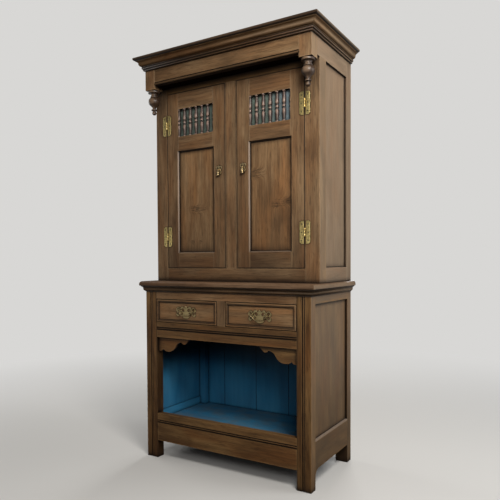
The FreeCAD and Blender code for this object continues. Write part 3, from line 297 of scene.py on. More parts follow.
def grain(look, axis, tones, seed):
    """Waxed oak whose grain runs along an axis: lays its colour and gives its height."""
    dark, middle, light, warm = tones
    offset = (seed * 0.73, seed * 1.31, seed * 2.17)
    broad = look.noise(along(axis, 20.0, 2.6), 4.0, 0.62, 0.6, offset)
    look.colour = look.mix(look.ramp(broad, 0.38, 0.66), middle, light)
    warmth = look.noise(along(axis, 9.0, 2.4), 3.0, 0.55, 0.6, (seed + 3.0, 1.0, 2.0))
    look.streak(warm, warmth, 0.46, 0.66, 0.66)
    rings = look.add("TexWave", {
        "Vector": look.mapped(along(axis, 1.0, 0.09), (0.31 + offset[0], -0.47, 0.21)),
        "Scale": 17.0, "Distortion": 11.0, "Detail": 2.5, "Detail Scale": 0.4,
        "Detail Roughness": 0.55}, wave_type="RINGS", rings_direction=axis,
        wave_profile="SAW").outputs["Fac"]
    look.streak(dark, rings, 0.50, 1.0, 0.15)
    streak = look.noise(along(axis, 75.0, 4.2), 4.0, 0.66, 0.3, offset)
    look.streak(dark, streak, 0.48, 0.76, 0.42)
    fibre = look.noise(along(axis, 330.0, 11.0), 3.0, 0.6, 0.0, offset)
    look.streak(dark, fibre, 0.47, 0.70, 0.42)
    flecks = look.noise(along(axis, 160.0, 22.0), 3.0, 0.6, 0.4, (seed, 9.0, 4.0))
    look.streak(dark, flecks, 0.56, 0.70, 0.40)
    pores = look.ramp(look.noise(along(axis, 900.0, 26.0), 2.0, 0.5, 0.0, offset), 0.60, 0.70)
    look.tint(dark, pores, 0.45)
    stain = look.noise(along(axis, 7.0, 4.0), 2.0, 0.5, 0.5, (4.0, seed, 1.0))
    look.streak(dark, stain, 0.48, 0.74, 0.48)
    return look.maths("SUBTRACT", look.times(fibre, 0.4), pores)


def faded(look):
    """Paints a pale sheen of side light on the outer sides, more than on the front and most of all
    high up.
    """
    outward = look.times(look.facing["X"], look.maths("SIGN", look.at("X")))
    share = look.times(look.ramp(outward, 0.45, 0.90),
                       look.ramp(look.at("Z"), 0.20, 1.00, 0.20, 0.36))
    look.colour = look.mix(share, look.colour, faded_tone)


def chamfered(look):
    """Painted highlight on chamfers that look up or to the right, and painted shade on the others.
    """
    slant = math.sqrt(0.5)
    out = look.times(look.facing["Y"], slant)
    for axis, share in (("X", 0.68), ("Z", 0.42)):
        for sign, tint in ((slant, rubbed_tone), (-slant, dirt_tint)):
            lean = look.maths("SUBTRACT", look.times(look.facing[axis], sign), out)
            look.streak(tint, lean, 0.86, 0.96, share)


def handled(look, tones, dirt=1.0, wear=0.005, below=0.90):
    """Dirt and painted shade in corners and quirks, painted shade under ledges, and edges lighter,
    partly wear and partly a painted highlight.
    """
    patchy = look.ramp(look.clouds(24.0, 3.0), 0.25, 0.60)
    # Edges lighter, partly wear and partly a painted highlight
    look.tint(tones[2], look.times(look.arrises(wear, 0.92), patchy), 0.85)
    # Painted shade on faces that look down
    look.streak(dirt_tint, look.facing["Z"], -0.15, -0.75, below)
    # Dirt and painted shade in corners: a wide halo, a narrower band and the quirks
    for reach, low, high, depth in ((0.100, 0.92, 0.42, 0.60 * dirt),
                                    (0.022, 0.96, 0.62, 0.88 * dirt),
                                    (0.005, 0.95, 0.72, 0.85 * min(1.0, 1.6 * dirt))):
        look.tint(dirt_tint, look.corners(reach, low, high), depth)


def smoked(look, low, high):
    """Painted shadow along the edges of a sunk panel, widest along the right-hand and lower edges.
    """
    across, up = look.at("X"), look.at("Z")
    near = look.most(look.ramp(across, high[0] - 0.030, high[0]),
                     look.ramp(up, low[2] + 0.045, low[2]),
                     look.ramp(across, low[0] + 0.012, low[0]),
                     look.ramp(up, high[2] - 0.016, high[2]))
    cloudy = look.ramp(look.clouds(16.0, 3.0), 0.20, 0.75)
    look.tint(dirt_tint, look.times(look.maths("POWER", near, 1.6), cloudy), 0.80)


def paint(look, mask, axis, dusty, under):
    """Old blue paint where a mask is 1: brushed, dusty, worn through, with painted shade high up
    and in corners.
    """
    wood = look.colour
    streaks = look.noise(along(axis, 70.0, 3.0), 3.0, 0.6)
    broad = look.noise(along(axis, 9.0, 2.0), 3.0, 0.55, 0.3)
    look.colour = look.mix(look.ramp(broad, 0.34, 0.68), blue_light, blue_dark)
    look.streak(blue_dark, streaks, 0.48, 0.75, 0.45)
    look.streak(niche_dust, look.clouds(11.0, 4.0, 0.6), 0.34, 0.70, dusty)
    scuffs = look.ramp(look.clouds(80.0, 4.0, 0.7), 0.62, 0.68)
    worn = look.ramp(look.clouds(6.0, 3.0, 0.6), 0.60, 0.72)
    look.tint(under, scuffs, worn)
    # Painted shade high in the niche, under the dust board
    soot = look.ramp(look.at("Z"), 0.34, 0.50, run="SMOOTHSTEP")
    look.tint(niche_soot, soot, 0.96)
    # Dirt and painted shade in the niche's corners
    look.tint(niche_soot, look.corners(0.014, 0.90, 0.55), 0.70)
    look.colour = look.mix(mask, wood, look.colour)


# The blue paint covers what faces the open niche behind its front frame, in metres
niche_low = (-0.4145, -0.1605, 0.1530)
niche_high = (0.4145, 0.2245, 0.6245)


def oak(name, axis, tone, seed, painted=False, dusty=0.12, dirt=1.0, wear=0.005,
        below=0.90, gloss=0.25, chamfers=False, foot=None, sunk=None, rubs=(), shades=(),
        frames=(), knots=()):
    """Waxed oak. Underside shade is the depth of painted shade on its undersides, bottom shade is a
    lower and upper level with painted shade darkest at the lower, sunk is the box of a panel's
    open face with painted shadow along its edges, highlights are boxes of painted highlight,
    dirt and shade boxes and frames darken a box or what lies between an outer and an inner box,
    each with its depth, and knots bend the grain."""
    look = Look(name)
    tones = oak_tones[tone]
    marks = [look.bend(centre, size, push) for centre, size, push in knots]
    height = grain(look, axis, tones, seed)
    ragged = look.noise((26.0, 60.0, 210.0), 4.0, 0.7, 0.8)
    for mark in marks:
        crack = look.times(look.ramp(ragged, 0.49, 0.58), look.ramp(mark, 0.08, 0.60))
        look.tint(tones[0], crack, 0.66)
    roughness = look.ramp(height, -1.0, 0.6, 0.62, 0.44)
    # Painted sheen of side light on the outer sides
    faded(look)
    # Painted highlight and painted shade on the chamfers, by the way they face
    if chamfers:
        chamfered(look)
    handled(look, tones, dirt, wear, below)
    # Painted shade, darker towards the bottom
    if foot:
        low, high, depth = foot
        look.streak(dirt_tint, look.at("Z"), high, low, depth)
    # Painted shadow along the edges of a sunk panel
    if sunk:
        smoked(look, *sunk)
    # Dirt at the door gaps and painted shade on the drawers' beads, between two boxes
    for outer, inner, depth in frames:
        outside = look.maths("SUBTRACT", 1.0, look.within(*inner))
        look.tint(dirt_tint, look.times(look.within(*outer), outside), depth)
    # Painted highlight in boxes
    for low, high, depth in rubs:
        look.tint(rubbed_tone, look.within(low, high), depth)
    if painted:
        paint(look, look.within(niche_low, niche_high), axis, dusty, tones[1])
    # Darker boxes: dark joints, darker post edges and painted shade
    for low, high, depth in shades:
        look.tint(dirt_tint, look.within(low, high), depth)
    return look.surface(roughness, height, 0.35, 0.0006, Specular_IOR_Level=gloss)


@functools.cache
def turned_oak(tone, seed, middle=None, rubbed_from=0.62):
    """Dark turnings with a painted highlight on their fronts; about a middle height, only on
    bellies and caps.
    """
    look = Look("oak_" + tone)
    dark, body, light, warm = oak_tones[tone]
    height = grain(look, "Z", (dark, body, body, warm), seed)
    # Painted highlight on the faces that look to the front
    front = look.ramp(look.times(look.facing["Y"], -1.0), rubbed_from, 0.98)
    if middle is not None:
        off = look.maths("ABSOLUTE", look.maths("SUBTRACT", look.at("Z"), middle))
        belly = look.times(look.ramp(off, 0.008, 0.012), look.ramp(off, 0.040, 0.022))
        neck = look.times(look.ramp(off, 0.022, 0.034), 0.30)
        ends = look.most(look.ramp(off, 0.059, 0.062), look.ramp(off, 0.0048, 0.0036))
        front = look.times(front, look.most(belly, neck, ends))
    look.tint(light, front, 0.80)
    # Dirt and painted shade in the hollows
    look.tint(dirt_tint, look.corners(0.009, 0.95, 0.50), 0.90)
    return look.surface(0.42, height, 0.25, 0.0004, Specular_IOR_Level=0.4)


@functools.cache
def plain_wood(axis):
    """Inner boards that were never waxed."""
    look = Look("plain_wood_" + axis)
    tones = oak_tones["inner"]
    height = grain(look, axis, tones, 0.0)
    handled(look, tones)
    return look.surface(0.68, height, 0.35, 0.0006)


@functools.cache
def grille_paint():
    """The boards behind the spindles: green paint that turns blue towards the right."""
    look = Look("grille_paint")
    look.colour = look.mix(look.ramp(look.at("X"), 0.18, 0.26), grille_green, grille_blue)
    streaks = look.noise((60.0, 60.0, 6.0), 3.0, 0.6)
    look.streak(dirt_tint, streaks, 0.45, 0.75, 0.25)
    # Painted shade and dirt on the boards next to the spindles and under the rails
    look.tint(dirt_tint, look.corners(0.018, 0.80, 0.30), 0.80)
    return look.surface(0.6, streaks, 0.2, 0.0004, Specular_IOR_Level=0.3)


@functools.cache
def brass(tone, *bright_box):
    """Old brass; a box bounds a part that hands keep bright."""
    look = Look("brass_" + tone)
    bright, dull, dark = brass_tones[tone]
    wear = look.ramp(look.clouds(210.0, 3.0, 0.60), 0.54, 0.46)
    if bright_box:
        wear = look.most(wear, look.within(*bright_box))
    look.colour = look.mix(wear, dull, bright)
    look.tint(bright, look.arrises(0.0025, 0.95), 0.75)
    look.tint(dark, look.corners(0.007, 0.92, 0.50), 0.92)
    casting = look.clouds(240.0, 4.0, 0.65)
    return look.surface(0.44, casting, 0.80, 0.0012, Metallic=1.0)


# How solids are softened: arrises in millimetres, angles in degrees
weld_distance = 0.02
flat_angle = 0.5
arris_width = 0.8
arris_angle = 35.0
arris_segments = 2
flat_weight = 60


def weld_group():
    """Joins the corners of neighbouring facets and shades them smooth."""
    group = bpy.data.node_groups.new("weld_and_smooth", "GeometryNodeTree")
    for way in ("INPUT", "OUTPUT"):
        group.interface.new_socket("Geometry", in_out=way, socket_type="NodeSocketGeometry")
    start = add_node(group, "NodeGroupInput")
    weld = add_node(group, "GeometryNodeMergeByDistance", {
        "Geometry": start.outputs[0], "Distance": weld_distance * MM})
    smooth = add_node(group, "GeometryNodeSetShadeSmooth", {
        "Geometry": weld.outputs["Geometry"]})
    add_node(group, "NodeGroupOutput", {0: smooth.outputs["Geometry"]})
    return group


weld_and_smooth = weld_group()


def dress(node, finish):
    """A carried-over solid gets its finish and a small round on every edge, its flats flat."""
    piece = nodes[node]
    piece.data.materials.clear()
    piece.data.materials.append(finish)
    weld = piece.modifiers.new("weld", "NODES")
    weld.node_group = weld_and_smooth
    flat = piece.modifiers.new("flat", "DECIMATE")
    flat.decimate_type = "DISSOLVE"
    flat.angle_limit = math.radians(flat_angle)
    edge = piece.modifiers.new("arris", "BEVEL")
    edge.width = arris_width * MM
    edge.segments = arris_segments
    edge.limit_method = "ANGLE"
    edge.angle_limit = math.radians(arris_angle)
    edge.use_clamp_overlap = True
    normals = piece.modifiers.new("normals", "WEIGHTED_NORMAL")
    normals.weight = flat_weight


def dress_oak(node, axis, tone, seed, **more):
    dress(node, oak("oak_" + node, axis, tone, seed, **more))


# Levels in metres between which painted shade thins out upwards, and how dark it is at the lower
# one
door_foot = (0.90, 1.26, 0.38)
case_foot = (0.84, 0.90, 0.22)
side_foot = (0.10, 0.50, 0.28)


def band(axis, low, high, depth):
    """A slab across the whole cupboard, between two places on an axis in millimetres."""
    start, end = [-BEYOND] * 3, [BEYOND] * 3
    start[AXES[axis]] = low * MM
    end[AXES[axis]] = high * MM
    return (tuple(start), tuple(end), depth)


def reed_shade(node, drop, depth):
    """Painted shade in and round the reed of a rail, measured down from the rail's top."""
    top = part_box(node)[1].z / MM
    return band("Z", top - drop - reed_width - reed_margin, top - drop + reed_margin, depth)


# Painted shade lies on the front faces of the back feet, on the bead under the frieze and round the
# rails' reeds; the niche opening's edges and the back boards' joints are darker, and a painted
# highlight runs along the top edge of the side rails
back_foot_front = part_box("base_back_posts")[0].y
back_foot_shade = ((-BEYOND, back_foot_front - foot_dirt * MM, -BEYOND),
                   (BEYOND, back_foot_front + foot_dirt * MM, foot_dirt_top * MM), 0.70)
frieze_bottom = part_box("frieze_board")[0].z / MM
frieze_bead_shade = band("Z", frieze_bottom - 1.0, frieze_bottom + frieze_bead_height, 0.45)
post_shades = (band("X", base_opening - 1.0, base_opening + post_dirt, 0.55),
               band("X", -base_opening - post_dirt, 1.0 - base_opening, 0.55))
joint_shades = tuple(band("X", x - joint_dirt, x + joint_dirt, 0.75) for x in back_joints)
side_rail_rub = band("Z", side_rail_top - side_rail_rub_height, side_rail_top + 1.0, 0.60)
drawer_reed_shade = reed_shade("drawer_rail", drawer_rail_reed_drop, 0.50)
bottom_reed_shade = reed_shade("base_front_bottom_rail", bottom_rail_reed_drop, 0.35)

# Finishes of the carried-over pieces: grain and tone, then what sets a piece apart, painted shade
# and painted highlight included
oak_nodes = {
    "base_front_posts": ("Z", "post", {"shades": post_shades}),
    "base_back_posts": ("Z", "low", {"painted": True, "shades": (back_foot_shade,)}),
    "base_side_panels": ("Z", "low", {"painted": True, "foot": side_foot}),
    "base_side_rails": ("Y", "low", {
        "painted": True, "wear": 0.012, "dirt": 0.8, "foot": side_foot,
        "rubs": (side_rail_rub,)}),
    "base_front_top_rail": ("X", "front", {}),
    "drawer_divider": ("Z", "front", {}),
    "drawer_rail": ("X", "low", {"shades": (drawer_reed_shade,)}),
    "base_front_bottom_rail": ("X", "low", {
        "wear": 0.008, "shades": (bottom_reed_shade,)}),
    "niche_brackets": ("X", "low", {}),
    "base_back_rails": ("X", "side", {"painted": True}),
    "base_back_boards": ("Z", "inner", {"painted": True, "shades": joint_shades}),
    "niche_floor": ("X", "inner", {"painted": True, "dusty": 0.72}),
    "dust_board": ("X", "inner", {"painted": True}),
    "base_top_board": ("X", "waist", {"below": 0.60}),
    "waist_bed_moulding": ("X", "moulding", {"wear": 0.004, "below": 0.55, "dirt": 0.8}),
    "upper_front_posts": ("Z", "front", {"wear": 0.008}),
    "upper_back_posts": ("Z", "side", {"dirt": 0.8}),
    "upper_side_panels": ("Z", "side", {"dirt": 0.8}),
    "upper_side_rails": ("Y", "side", {"dirt": 0.8}),
    "upper_front_bottom_rail": ("X", "front", {"foot": case_foot}),
    "upper_front_top_rail": ("X", "low", {}),
    "door_mullion": ("Z", "front", {"wear": 0.007}),
    "frieze_board": ("X", "front", {
        "shades": (frieze_bead_shade,), "gloss": 0.1, "below": 0.96}),
    "frieze_corner_blocks": ("Z", "front", {}),
    "cornice_bed_moulding": ("X", "moulding", {"wear": 0.004, "below": 0.45}),
    "cornice_cyma": ("X", "cyma", {"dirt": 0.30, "below": 0.30, "gloss": 0.06}),
    "cornice_top_board": ("X", "deep", {"dirt": 0.5}),
    "ceiling_board": ("X", "deep", {"gloss": 0.0, "below": 0.96}),
}
inner_nodes = {
    "drawer_runners": "Y", "board_bearers": "Y", "upper_back_rails": "X",
    "upper_back_boards": "Z", "upper_floor": "X", "shelf": "X",
}
for seed, (node, (axis, tone, more)) in enumerate(oak_nodes.items(), 1):
    dress_oak(node, axis, tone, seed, **more)
for node, axis in inner_nodes.items():
    dress(node, plain_wood(axis))


def inset(node, edge):
    """The box inside an edge of a moving piece's front, edge in millimetres."""
    low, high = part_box(node)
    edge *= MM
    return ((low.x + edge, -BEYOND, low.z + edge), (high.x - edge, BEYOND, high.z - edge))


# Knots of the door panels in metres: centre, reach and how far the grain steps aside
panel_knots = {
    "right": (((0.262, -0.106, 1.190), (0.075, 0.05, 0.032), (0.024, 0.0, 0.006)),
              ((0.224, -0.106, 1.178), (0.040, 0.05, 0.022), (-0.014, 0.0, 0.0)),
              ((0.128, -0.106, 1.320), (0.070, 0.05, 0.040), (0.026, 0.0, 0.010))),
    "left": (((-0.194, -0.106, 1.182), (0.085, 0.05, 0.034), (0.022, 0.0, 0.004)),
             ((-0.226, -0.106, 1.028), (0.020, 0.05, 0.018), (0.008, 0.0, 0.0)),
             ((-0.180, -0.106, 1.027), (0.016, 0.05, 0.014), (-0.006, 0.0, 0.0))),
}
for side, seed in (("right", 31.0), ("left", 37.0)):
    door = "door_" + side + "_"
    drawer = "drawer_" + side + "_"
    rim = (inset(door + "stiles", -gap_dirt), inset(door + "stiles", gap_dirt), 0.80)
    for name, axis, step in (("stiles", "Z", 0.0), ("rails", "X", 1.0)):
        dress_oak(door + name, axis, "front", seed + step, chamfers=True, foot=door_foot,
                  frames=(rim,))
    dress_oak(door + "panel", "Z", "panel", seed + 2.0, foot=door_foot,
              sunk=inset(door + "panel", panel_tongue), knots=panel_knots[side])
    dress(door + "grille_board", grille_paint())
    # Painted shade on the inner part of the drawer front's bead, its outer edge left light
    bead = (inset(drawer + "front", bead_light), inset(drawer + "front", bead_dark), 0.70)
    dress_oak(drawer + "front", "X", "panel", seed + 3.0, dirt=0.6, frames=(bead,))
    dress(drawer + "box", plain_wood("Y"))


# The two sides of the cupboard and their signs along X
hands = (("right", 1), ("left", -1))


def placed(name, data):
    """A new object in the scene."""
    piece = bpy.data.objects.new(name, data)
    bpy.context.scene.collection.objects.link(piece)
    return piece


def opened(meshes):
    """A bmesh that takes over the faces of some meshes."""
    work = bmesh.new()
    for mesh in meshes:
        work.from_mesh(mesh)
        bpy.data.meshes.remove(mesh)
    return work


def made(work, name="part"):
    """The mesh that a bmesh holds."""
    mesh = bpy.data.meshes.new(name)
    work.to_mesh(mesh)
    work.free()
    return mesh


def link(name, meshes, finish, body, node=None):
    """Meshes as one new piece that rides on a body, and the node that it replaces, if any."""
    piece = placed(name, made(opened(meshes), name))
    piece.data.materials.append(finish)
    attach(piece, body)
    if node:
        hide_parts(node)


def arc_steps(start, middle, end, steps):
    """Points on the arc from start through middle to end, without the start."""
    a, b, c = (complex(*point) for point in (start, middle, end))
    lean = (c - a) / (b - a)
    centre = a + (b - a) * (lean - abs(lean) ** 2) / (2j * lean.imag)
    sweep = cmath.phase((c - centre) / (a - centre)) % (2 * math.pi)
    if lean.imag < 0:
        sweep -= 2 * math.pi
    turned = [centre + (a - centre) * cmath.exp(1j * sweep * i / steps)
              for i in range(1, steps + 1)]
    return [(point.real, point.imag) for point in turned]


def drawn(outline, steps=8):
    """Outline points (u, v), or (u, v, mid u, mid v) for an arc, as a run of points."""
    points = [tuple(outline[0][:2])]
    for point in outline[1:]:
        if len(point) == 4:
            points += arc_steps(points[-1], point[2:], point[:2], steps)
        else:
            points.append(tuple(point))
    return points


# Edges sharper than these angles, in degrees, stay crisp on turned and on flat pieces
turned_crisp = 50.0
flat_crisp = 35.0


def finished(work, crisp):
    """A mesh with outward faces that is smooth but for its crisp edges."""
    bmesh.ops.recalc_face_normals(work, faces=work.faces)
    for face in work.faces:
        face.smooth = True
    for edge in work.edges:
        if len(edge.link_faces) == 2:
            edge.smooth = edge.calc_face_angle() < math.radians(crisp)
    return made(work)


def skin(work, rings):
    """Faces between each ring of points and the next, and over both ends."""
    for low, high in zip(rings, rings[1:]):
        for i in range(len(low)):
            work.faces.new((low[i - 1], low[i], high[i], high[i - 1]))
    work.faces.new(rings[0])
    work.faces.new(rings[-1])


def lathe_mesh(profile, start, direction, sides, steps=8):
    """A smooth turning: profile gives (radius, distance along its axis) in millimetres."""
    swing = Vector((0, 0, 1)).rotation_difference(Vector(direction))
    work = bmesh.new()
    rings = []
    for radius, distance in drawn(profile, steps):
        ring = []
        for i in range(sides):
            angle = 2 * math.pi * i / sides
            point = Vector((radius * math.cos(angle), radius * math.sin(angle), distance))
            ring.append(work.verts.new((Vector(start) + swing @ point) * MM))
        rings.append(ring)
    skin(work, rings)
    return finished(work, turned_crisp)


def halved(mesh, place, keep):
    """A mesh cut at a plane through a place in millimetres, with the side that is kept."""
    work = opened([mesh])
    cut = bmesh.ops.bisect_plane(
        work, geom=work.verts[:] + work.edges[:] + work.faces[:],
        plane_co=Vector(place) * MM, plane_no=-Vector(keep), clear_outer=True)
    rim = [item for item in cut["geom_cut"] if isinstance(item, bmesh.types.BMEdge)]
    bmesh.ops.holes_fill(work, edges=rim)
    return made(work)


def plate_mesh(outlines, thickness, round_over, x, face, level):
    """A flat plate with rounded arrises on a front face, its middle at x and a level; the
    outlines after the first are its piercings."""
    curve = bpy.data.curves.new("plate", "CURVE")
    curve.dimensions = "2D"
    curve.fill_mode = "BOTH"
    curve.extrude = (thickness / 2 - round_over) * MM
    curve.bevel_depth = round_over * MM
    curve.bevel_resolution = 2
    curve.offset = -round_over * MM
    for i, outline in enumerate(outlines):
        points = drawn(outline)
        area = sum(a[0] * b[1] - b[0] * a[1] for a, b in zip(points, points[1:] + points[:1]))
        if (area > 0) == (i > 0):
            points.reverse()
        spline = curve.splines.new("POLY")
        spline.points.add(len(points) - 1)
        for item, (u, v) in zip(spline.points, points):
            item.co = (u * MM, v * MM, 0, 1)
        spline.use_cyclic_u = True
    holder = placed("plate", curve)
    bpy.context.view_layer.update()
    shape = holder.evaluated_get(bpy.context.evaluated_depsgraph_get())
    work = opened([bpy.data.meshes.new_from_object(shape)])
    bpy.data.objects.remove(holder)
    bpy.data.curves.remove(curve)
    bmesh.ops.remove_doubles(work, verts=work.verts, dist=0.01 * MM)
    place = Matrix.Translation(Vector((x, face - thickness / 2, level)) * MM)
    bmesh.ops.transform(work, matrix=place @ Matrix.Rotation(math.pi / 2, 4, "X"),
                        verts=work.verts)
    return finished(work, flat_crisp)


def tube_mesh(points, radii, sides=14):
    """A rod bent along points in millimetres, with a radius at each."""
    work = bmesh.new()
    rings = []
    heading = (points[1] - points[0]).normalized()
    aside = heading.orthogonal().normalized()
    for i, point in enumerate(points):
        before, after = points[max(i - 1, 0)], points[min(i + 1, len(points) - 1)]
        ahead = (after - before).normalized()
        aside = heading.rotation_difference(ahead) @ aside
        heading = ahead
        other = heading.cross(aside)
        ring = []
        for k in range(sides):
            angle = 2 * math.pi * k / sides
            offset = (aside * math.cos(angle) + other * math.sin(angle)) * radii[i]
            ring.append(work.verts.new((point + offset) * MM))
        rings.append(ring)
    skin(work, rings)
    return finished(work, turned_crisp)


# Turned pendants, from the corner blocks down
pendant_profile = [
    (25.0, 0.0), (28.6, 3.4, 27.8, 0.9), (28.6, 7.6), (25.0, 11.0, 27.8, 10.1),
    (18.5, 11.6), (15.2, 18.5, 15.9, 15.4), (15.6, 24.0, 14.8, 21.6), (18.6, 26.0),
    (18.6, 29.6), (17.4, 31.0), (17.6, 67.0, 27.8, 48.6), (15.0, 70.0),
    (7.8, 82.0, 9.8, 76.6), (7.8, 84.4), (12.4, 85.2), (13.9, 88.4, 13.7, 86.4),
    (12.4, 91.4, 13.7, 90.5), (7.6, 92.4), (7.2, 95.4), (3.2, 111.8, 10.4, 103.0),
    (1.0, 112.0),
]
pendant_inset = 28.5
block_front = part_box("frieze_corner_blocks")[0]
pendant_x = case_half_width - pendant_inset
pendant_y = block_front.y / MM + pendant_inset
pendant_top = block_front.z / MM
for side, sign in hands:
    mesh = lathe_mesh(pendant_profile, (sign * pendant_x, pendant_y, pendant_top), (0, 0, -1),
                      sides=56)
    link("pendant_" + side, [mesh], turned_oak("turned", 41.0), "case",
         "corner_pendants")

# Turned spindles of the grilles
spindle_outline = [
    (8.3, 0.0), (8.6, 0.4), (8.6, 3.6), (8.1, 4.9), (6.0, 5.5), (4.9, 8.6, 5.0, 6.6),
    (7.9, 46.0, 7.0, 28.0), (7.5, 51.4, 8.2, 49.0), (4.8, 57.4, 5.3, 54.4),
    (5.0, 59.4), (7.4, 61.6, 7.0, 60.0), (7.4, 68.4, 7.8, 65.0), (5.0, 70.6, 7.0, 70.0),
    (4.8, 72.6), (7.5, 78.6, 5.3, 75.6), (7.9, 84.0, 8.2, 81.0), (4.9, 121.4, 7.0, 102.0),
    (6.0, 124.5, 5.0, 123.4), (8.1, 125.1), (8.6, 126.4), (8.6, 129.6), (8.3, 130.0),
]
spindle_radius = 8.6
spindle_spaces = 6
for side, sign in hands:
    door = "door_" + side
    low, high = (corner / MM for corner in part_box(door + "_spindles"))
    pitch = (high.x - low.x) / spindle_spaces
    turnings = []
    for i in range(spindle_spaces + 1):
        place = (low.x + pitch * i, low.y + spindle_radius, low.z)
        mesh = lathe_mesh(spindle_outline, place, (0, 0, 1), sides=28)
        if i in (0, spindle_spaces):
            mesh = halved(mesh, place, (1 if i == 0 else -1, 0, 0))
        turnings.append(mesh)
    finish = turned_oak("spindle", 43.0, (low.z + high.z) / 2 * MM, rubbed_from=0.36)
    link("spindles_" + side, turnings, finish, door, door + "_spindles")


def block_mesh(low, high, round_over=0.3):
    """A small block with rounded arrises, from corner to corner in millimetres."""
    work = bmesh.new()
    bmesh.ops.create_cube(work, size=1.0)
    for vertex in work.verts:
        vertex.co = Vector([(a if c < 0 else b) * MM for c, a, b in zip(vertex.co, low, high)])
    bmesh.ops.bevel(work, geom=work.edges[:], offset=round_over * MM, segments=2,
                    affect="EDGES")
    return finished(work, flat_crisp)


def softened(corners, steps=4):
    """A closed shape that runs smoothly through the middles of a polygon's sides."""
    corners = [Vector(corner) for corner in corners]
    points = []
    for i, here in enumerate(corners):
        start = (corners[i - 1] + here) / 2
        end = (here + corners[(i + 1) % len(corners)]) / 2
        for k in range(steps):
            share = k / steps
            points.append(start.lerp(here, share).lerp(here.lerp(end, share), share))
    return points


screw_slot = 0.6
screw_base = [(2.47, 0.0), (2.34, 0.25)]
screw_dome = [(2.6, 0.0), (2.6, 0.25), (0.78, 0.9, 1.95, 0.7), (0.05, 0.95)]
screw_sides = 16


def screw_meshes(place, turn):
    """A domed screw head with its slot, on a front face."""
    meshes = [lathe_mesh(screw_base, place, (0, -1, 0), screw_sides)]
    across = Vector((math.cos(turn), 0, math.sin(turn)))
    for way in (-1, 1):
        mesh = lathe_mesh(screw_dome, place, (0, -1, 0), screw_sides, steps=3)
        meshes.append(halved(mesh, place + across * (screw_slot / 2 * way), across * way))
    return meshes


# Loose tongues close the open joints of the back boards
tongue_width = 12.0
tongue_thickness = 3.0
tongue_end_gap = 1.0
tongue_half = Vector((tongue_width / 2, tongue_thickness / 2, -tongue_end_gap))
for node, slot_name in (("base_back_boards", "blue_paint"), ("upper_back_boards", "inner_pine")):
    low, high = (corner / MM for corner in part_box(node))
    middle_y = (low.y + high.y) / 2
    strips = [block_mesh(Vector((x, middle_y, low.z)) - tongue_half,
                         Vector((x, middle_y, high.z)) + tongue_half) for x in back_joints]
    link(node + "_tongues", strips, oak("oak_tongues", "Z", "deep", 51.0), "case")

# H hinges: leaves with moulded ends, barrels and screws
hinge_leaf_shares = [
    (0.0, -0.5), (0.66, -0.5), (0.80, -0.455, 0.71, -0.487), (1.0, -0.43, 0.94, -0.453),
    (1.0, 0.43), (0.80, 0.455, 0.94, 0.453), (0.66, 0.5, 0.71, 0.487), (0.0, 0.5),
]
screw_level_shares = (-0.36, 0.0, 0.36)
screw_place_share = 0.52
screw_turn_step = 1.9
screw_turn_by_level = 0.013
screw_turn_by_side = 0.7
leaf_round_over = 0.4
barrel_chamfer = 0.5
strap_reach = 2.5
strap_inset = 0.2
knuckle_third = hinge_knuckle_height / 6
knuckle_gap = 0.3
case_knuckles = ((-hinge_knuckle_height / 2, -knuckle_third - knuckle_gap),
                 (knuckle_third + knuckle_gap, hinge_knuckle_height / 2))
door_knuckles = ((-knuckle_third, knuckle_third),)


def scaled(outline, width, height):
    """Shares of a width and a height turned into millimetres."""
    return [tuple(s * (width, height)[i % 2] for i, s in enumerate(p)) for p in outline]


def hinge_leaf(level, sign, outward, knuckles):
    """A leaf on the right (sign +1) or left door, on the case's side (outward +1) or door's."""
    way = sign * outward
    axis_x = sign * hinge_axis_x
    foot_x = axis_x + way * hinge_leaf_offset
    outline = scaled(hinge_leaf_shares, way * hinge_leaf_width, hinge_leaf_height)
    meshes = [plate_mesh([outline], hinge_leaf_thickness, leaf_round_over, foot_x, door_face,
                         level)]
    for low, high in knuckles:
        end, rim = high - low, hinge_barrel_radius - barrel_chamfer
        profile = [(rim, 0.0), (hinge_barrel_radius, barrel_chamfer),
                   (hinge_barrel_radius, end - barrel_chamfer), (rim, end)]
        meshes.append(lathe_mesh(profile, (axis_x, hinge_axis_y, level + low), (0, 0, 1),
                                 sides=24))
        near, far = sorted((axis_x, foot_x + way * strap_reach))
        meshes.append(block_mesh((near, door_face - hinge_leaf_thickness, level + low),
                                 (far, door_face - strap_inset, level + high)))
    return meshes


def hinge_screws(level, sign, outward):
    """The screws of one leaf, each turned another way."""
    run = hinge_leaf_offset + hinge_leaf_width * screw_place_share
    start = Vector((sign * (hinge_axis_x + outward * run), door_face - hinge_leaf_thickness,
                    level))
    turn = level * screw_turn_by_level + sign * screw_turn_by_side + outward
    meshes = []
    for i, share in enumerate(screw_level_shares):
        place = start + Vector((0, 0, share * hinge_leaf_height))
        meshes += screw_meshes(place, turn + screw_turn_step * i)
    return meshes


for side, sign in hands:
    for end, level in zip(("low", "high"), hinge_levels):
        for body, node, outward, knuckles in (
                ("case", "case_hinges", 1, case_knuckles),
                ("door_" + side, "door_" + side + "_hinge_leaves", -1, door_knuckles)):
            tag = "_" + body + "_" + side + "_" + end
            link("hinge" + tag, hinge_leaf(level, sign, outward, knuckles), brass("hinge"),
                 body, node)
            link("screws" + tag, hinge_screws(level, sign, outward), brass("iron"), body)

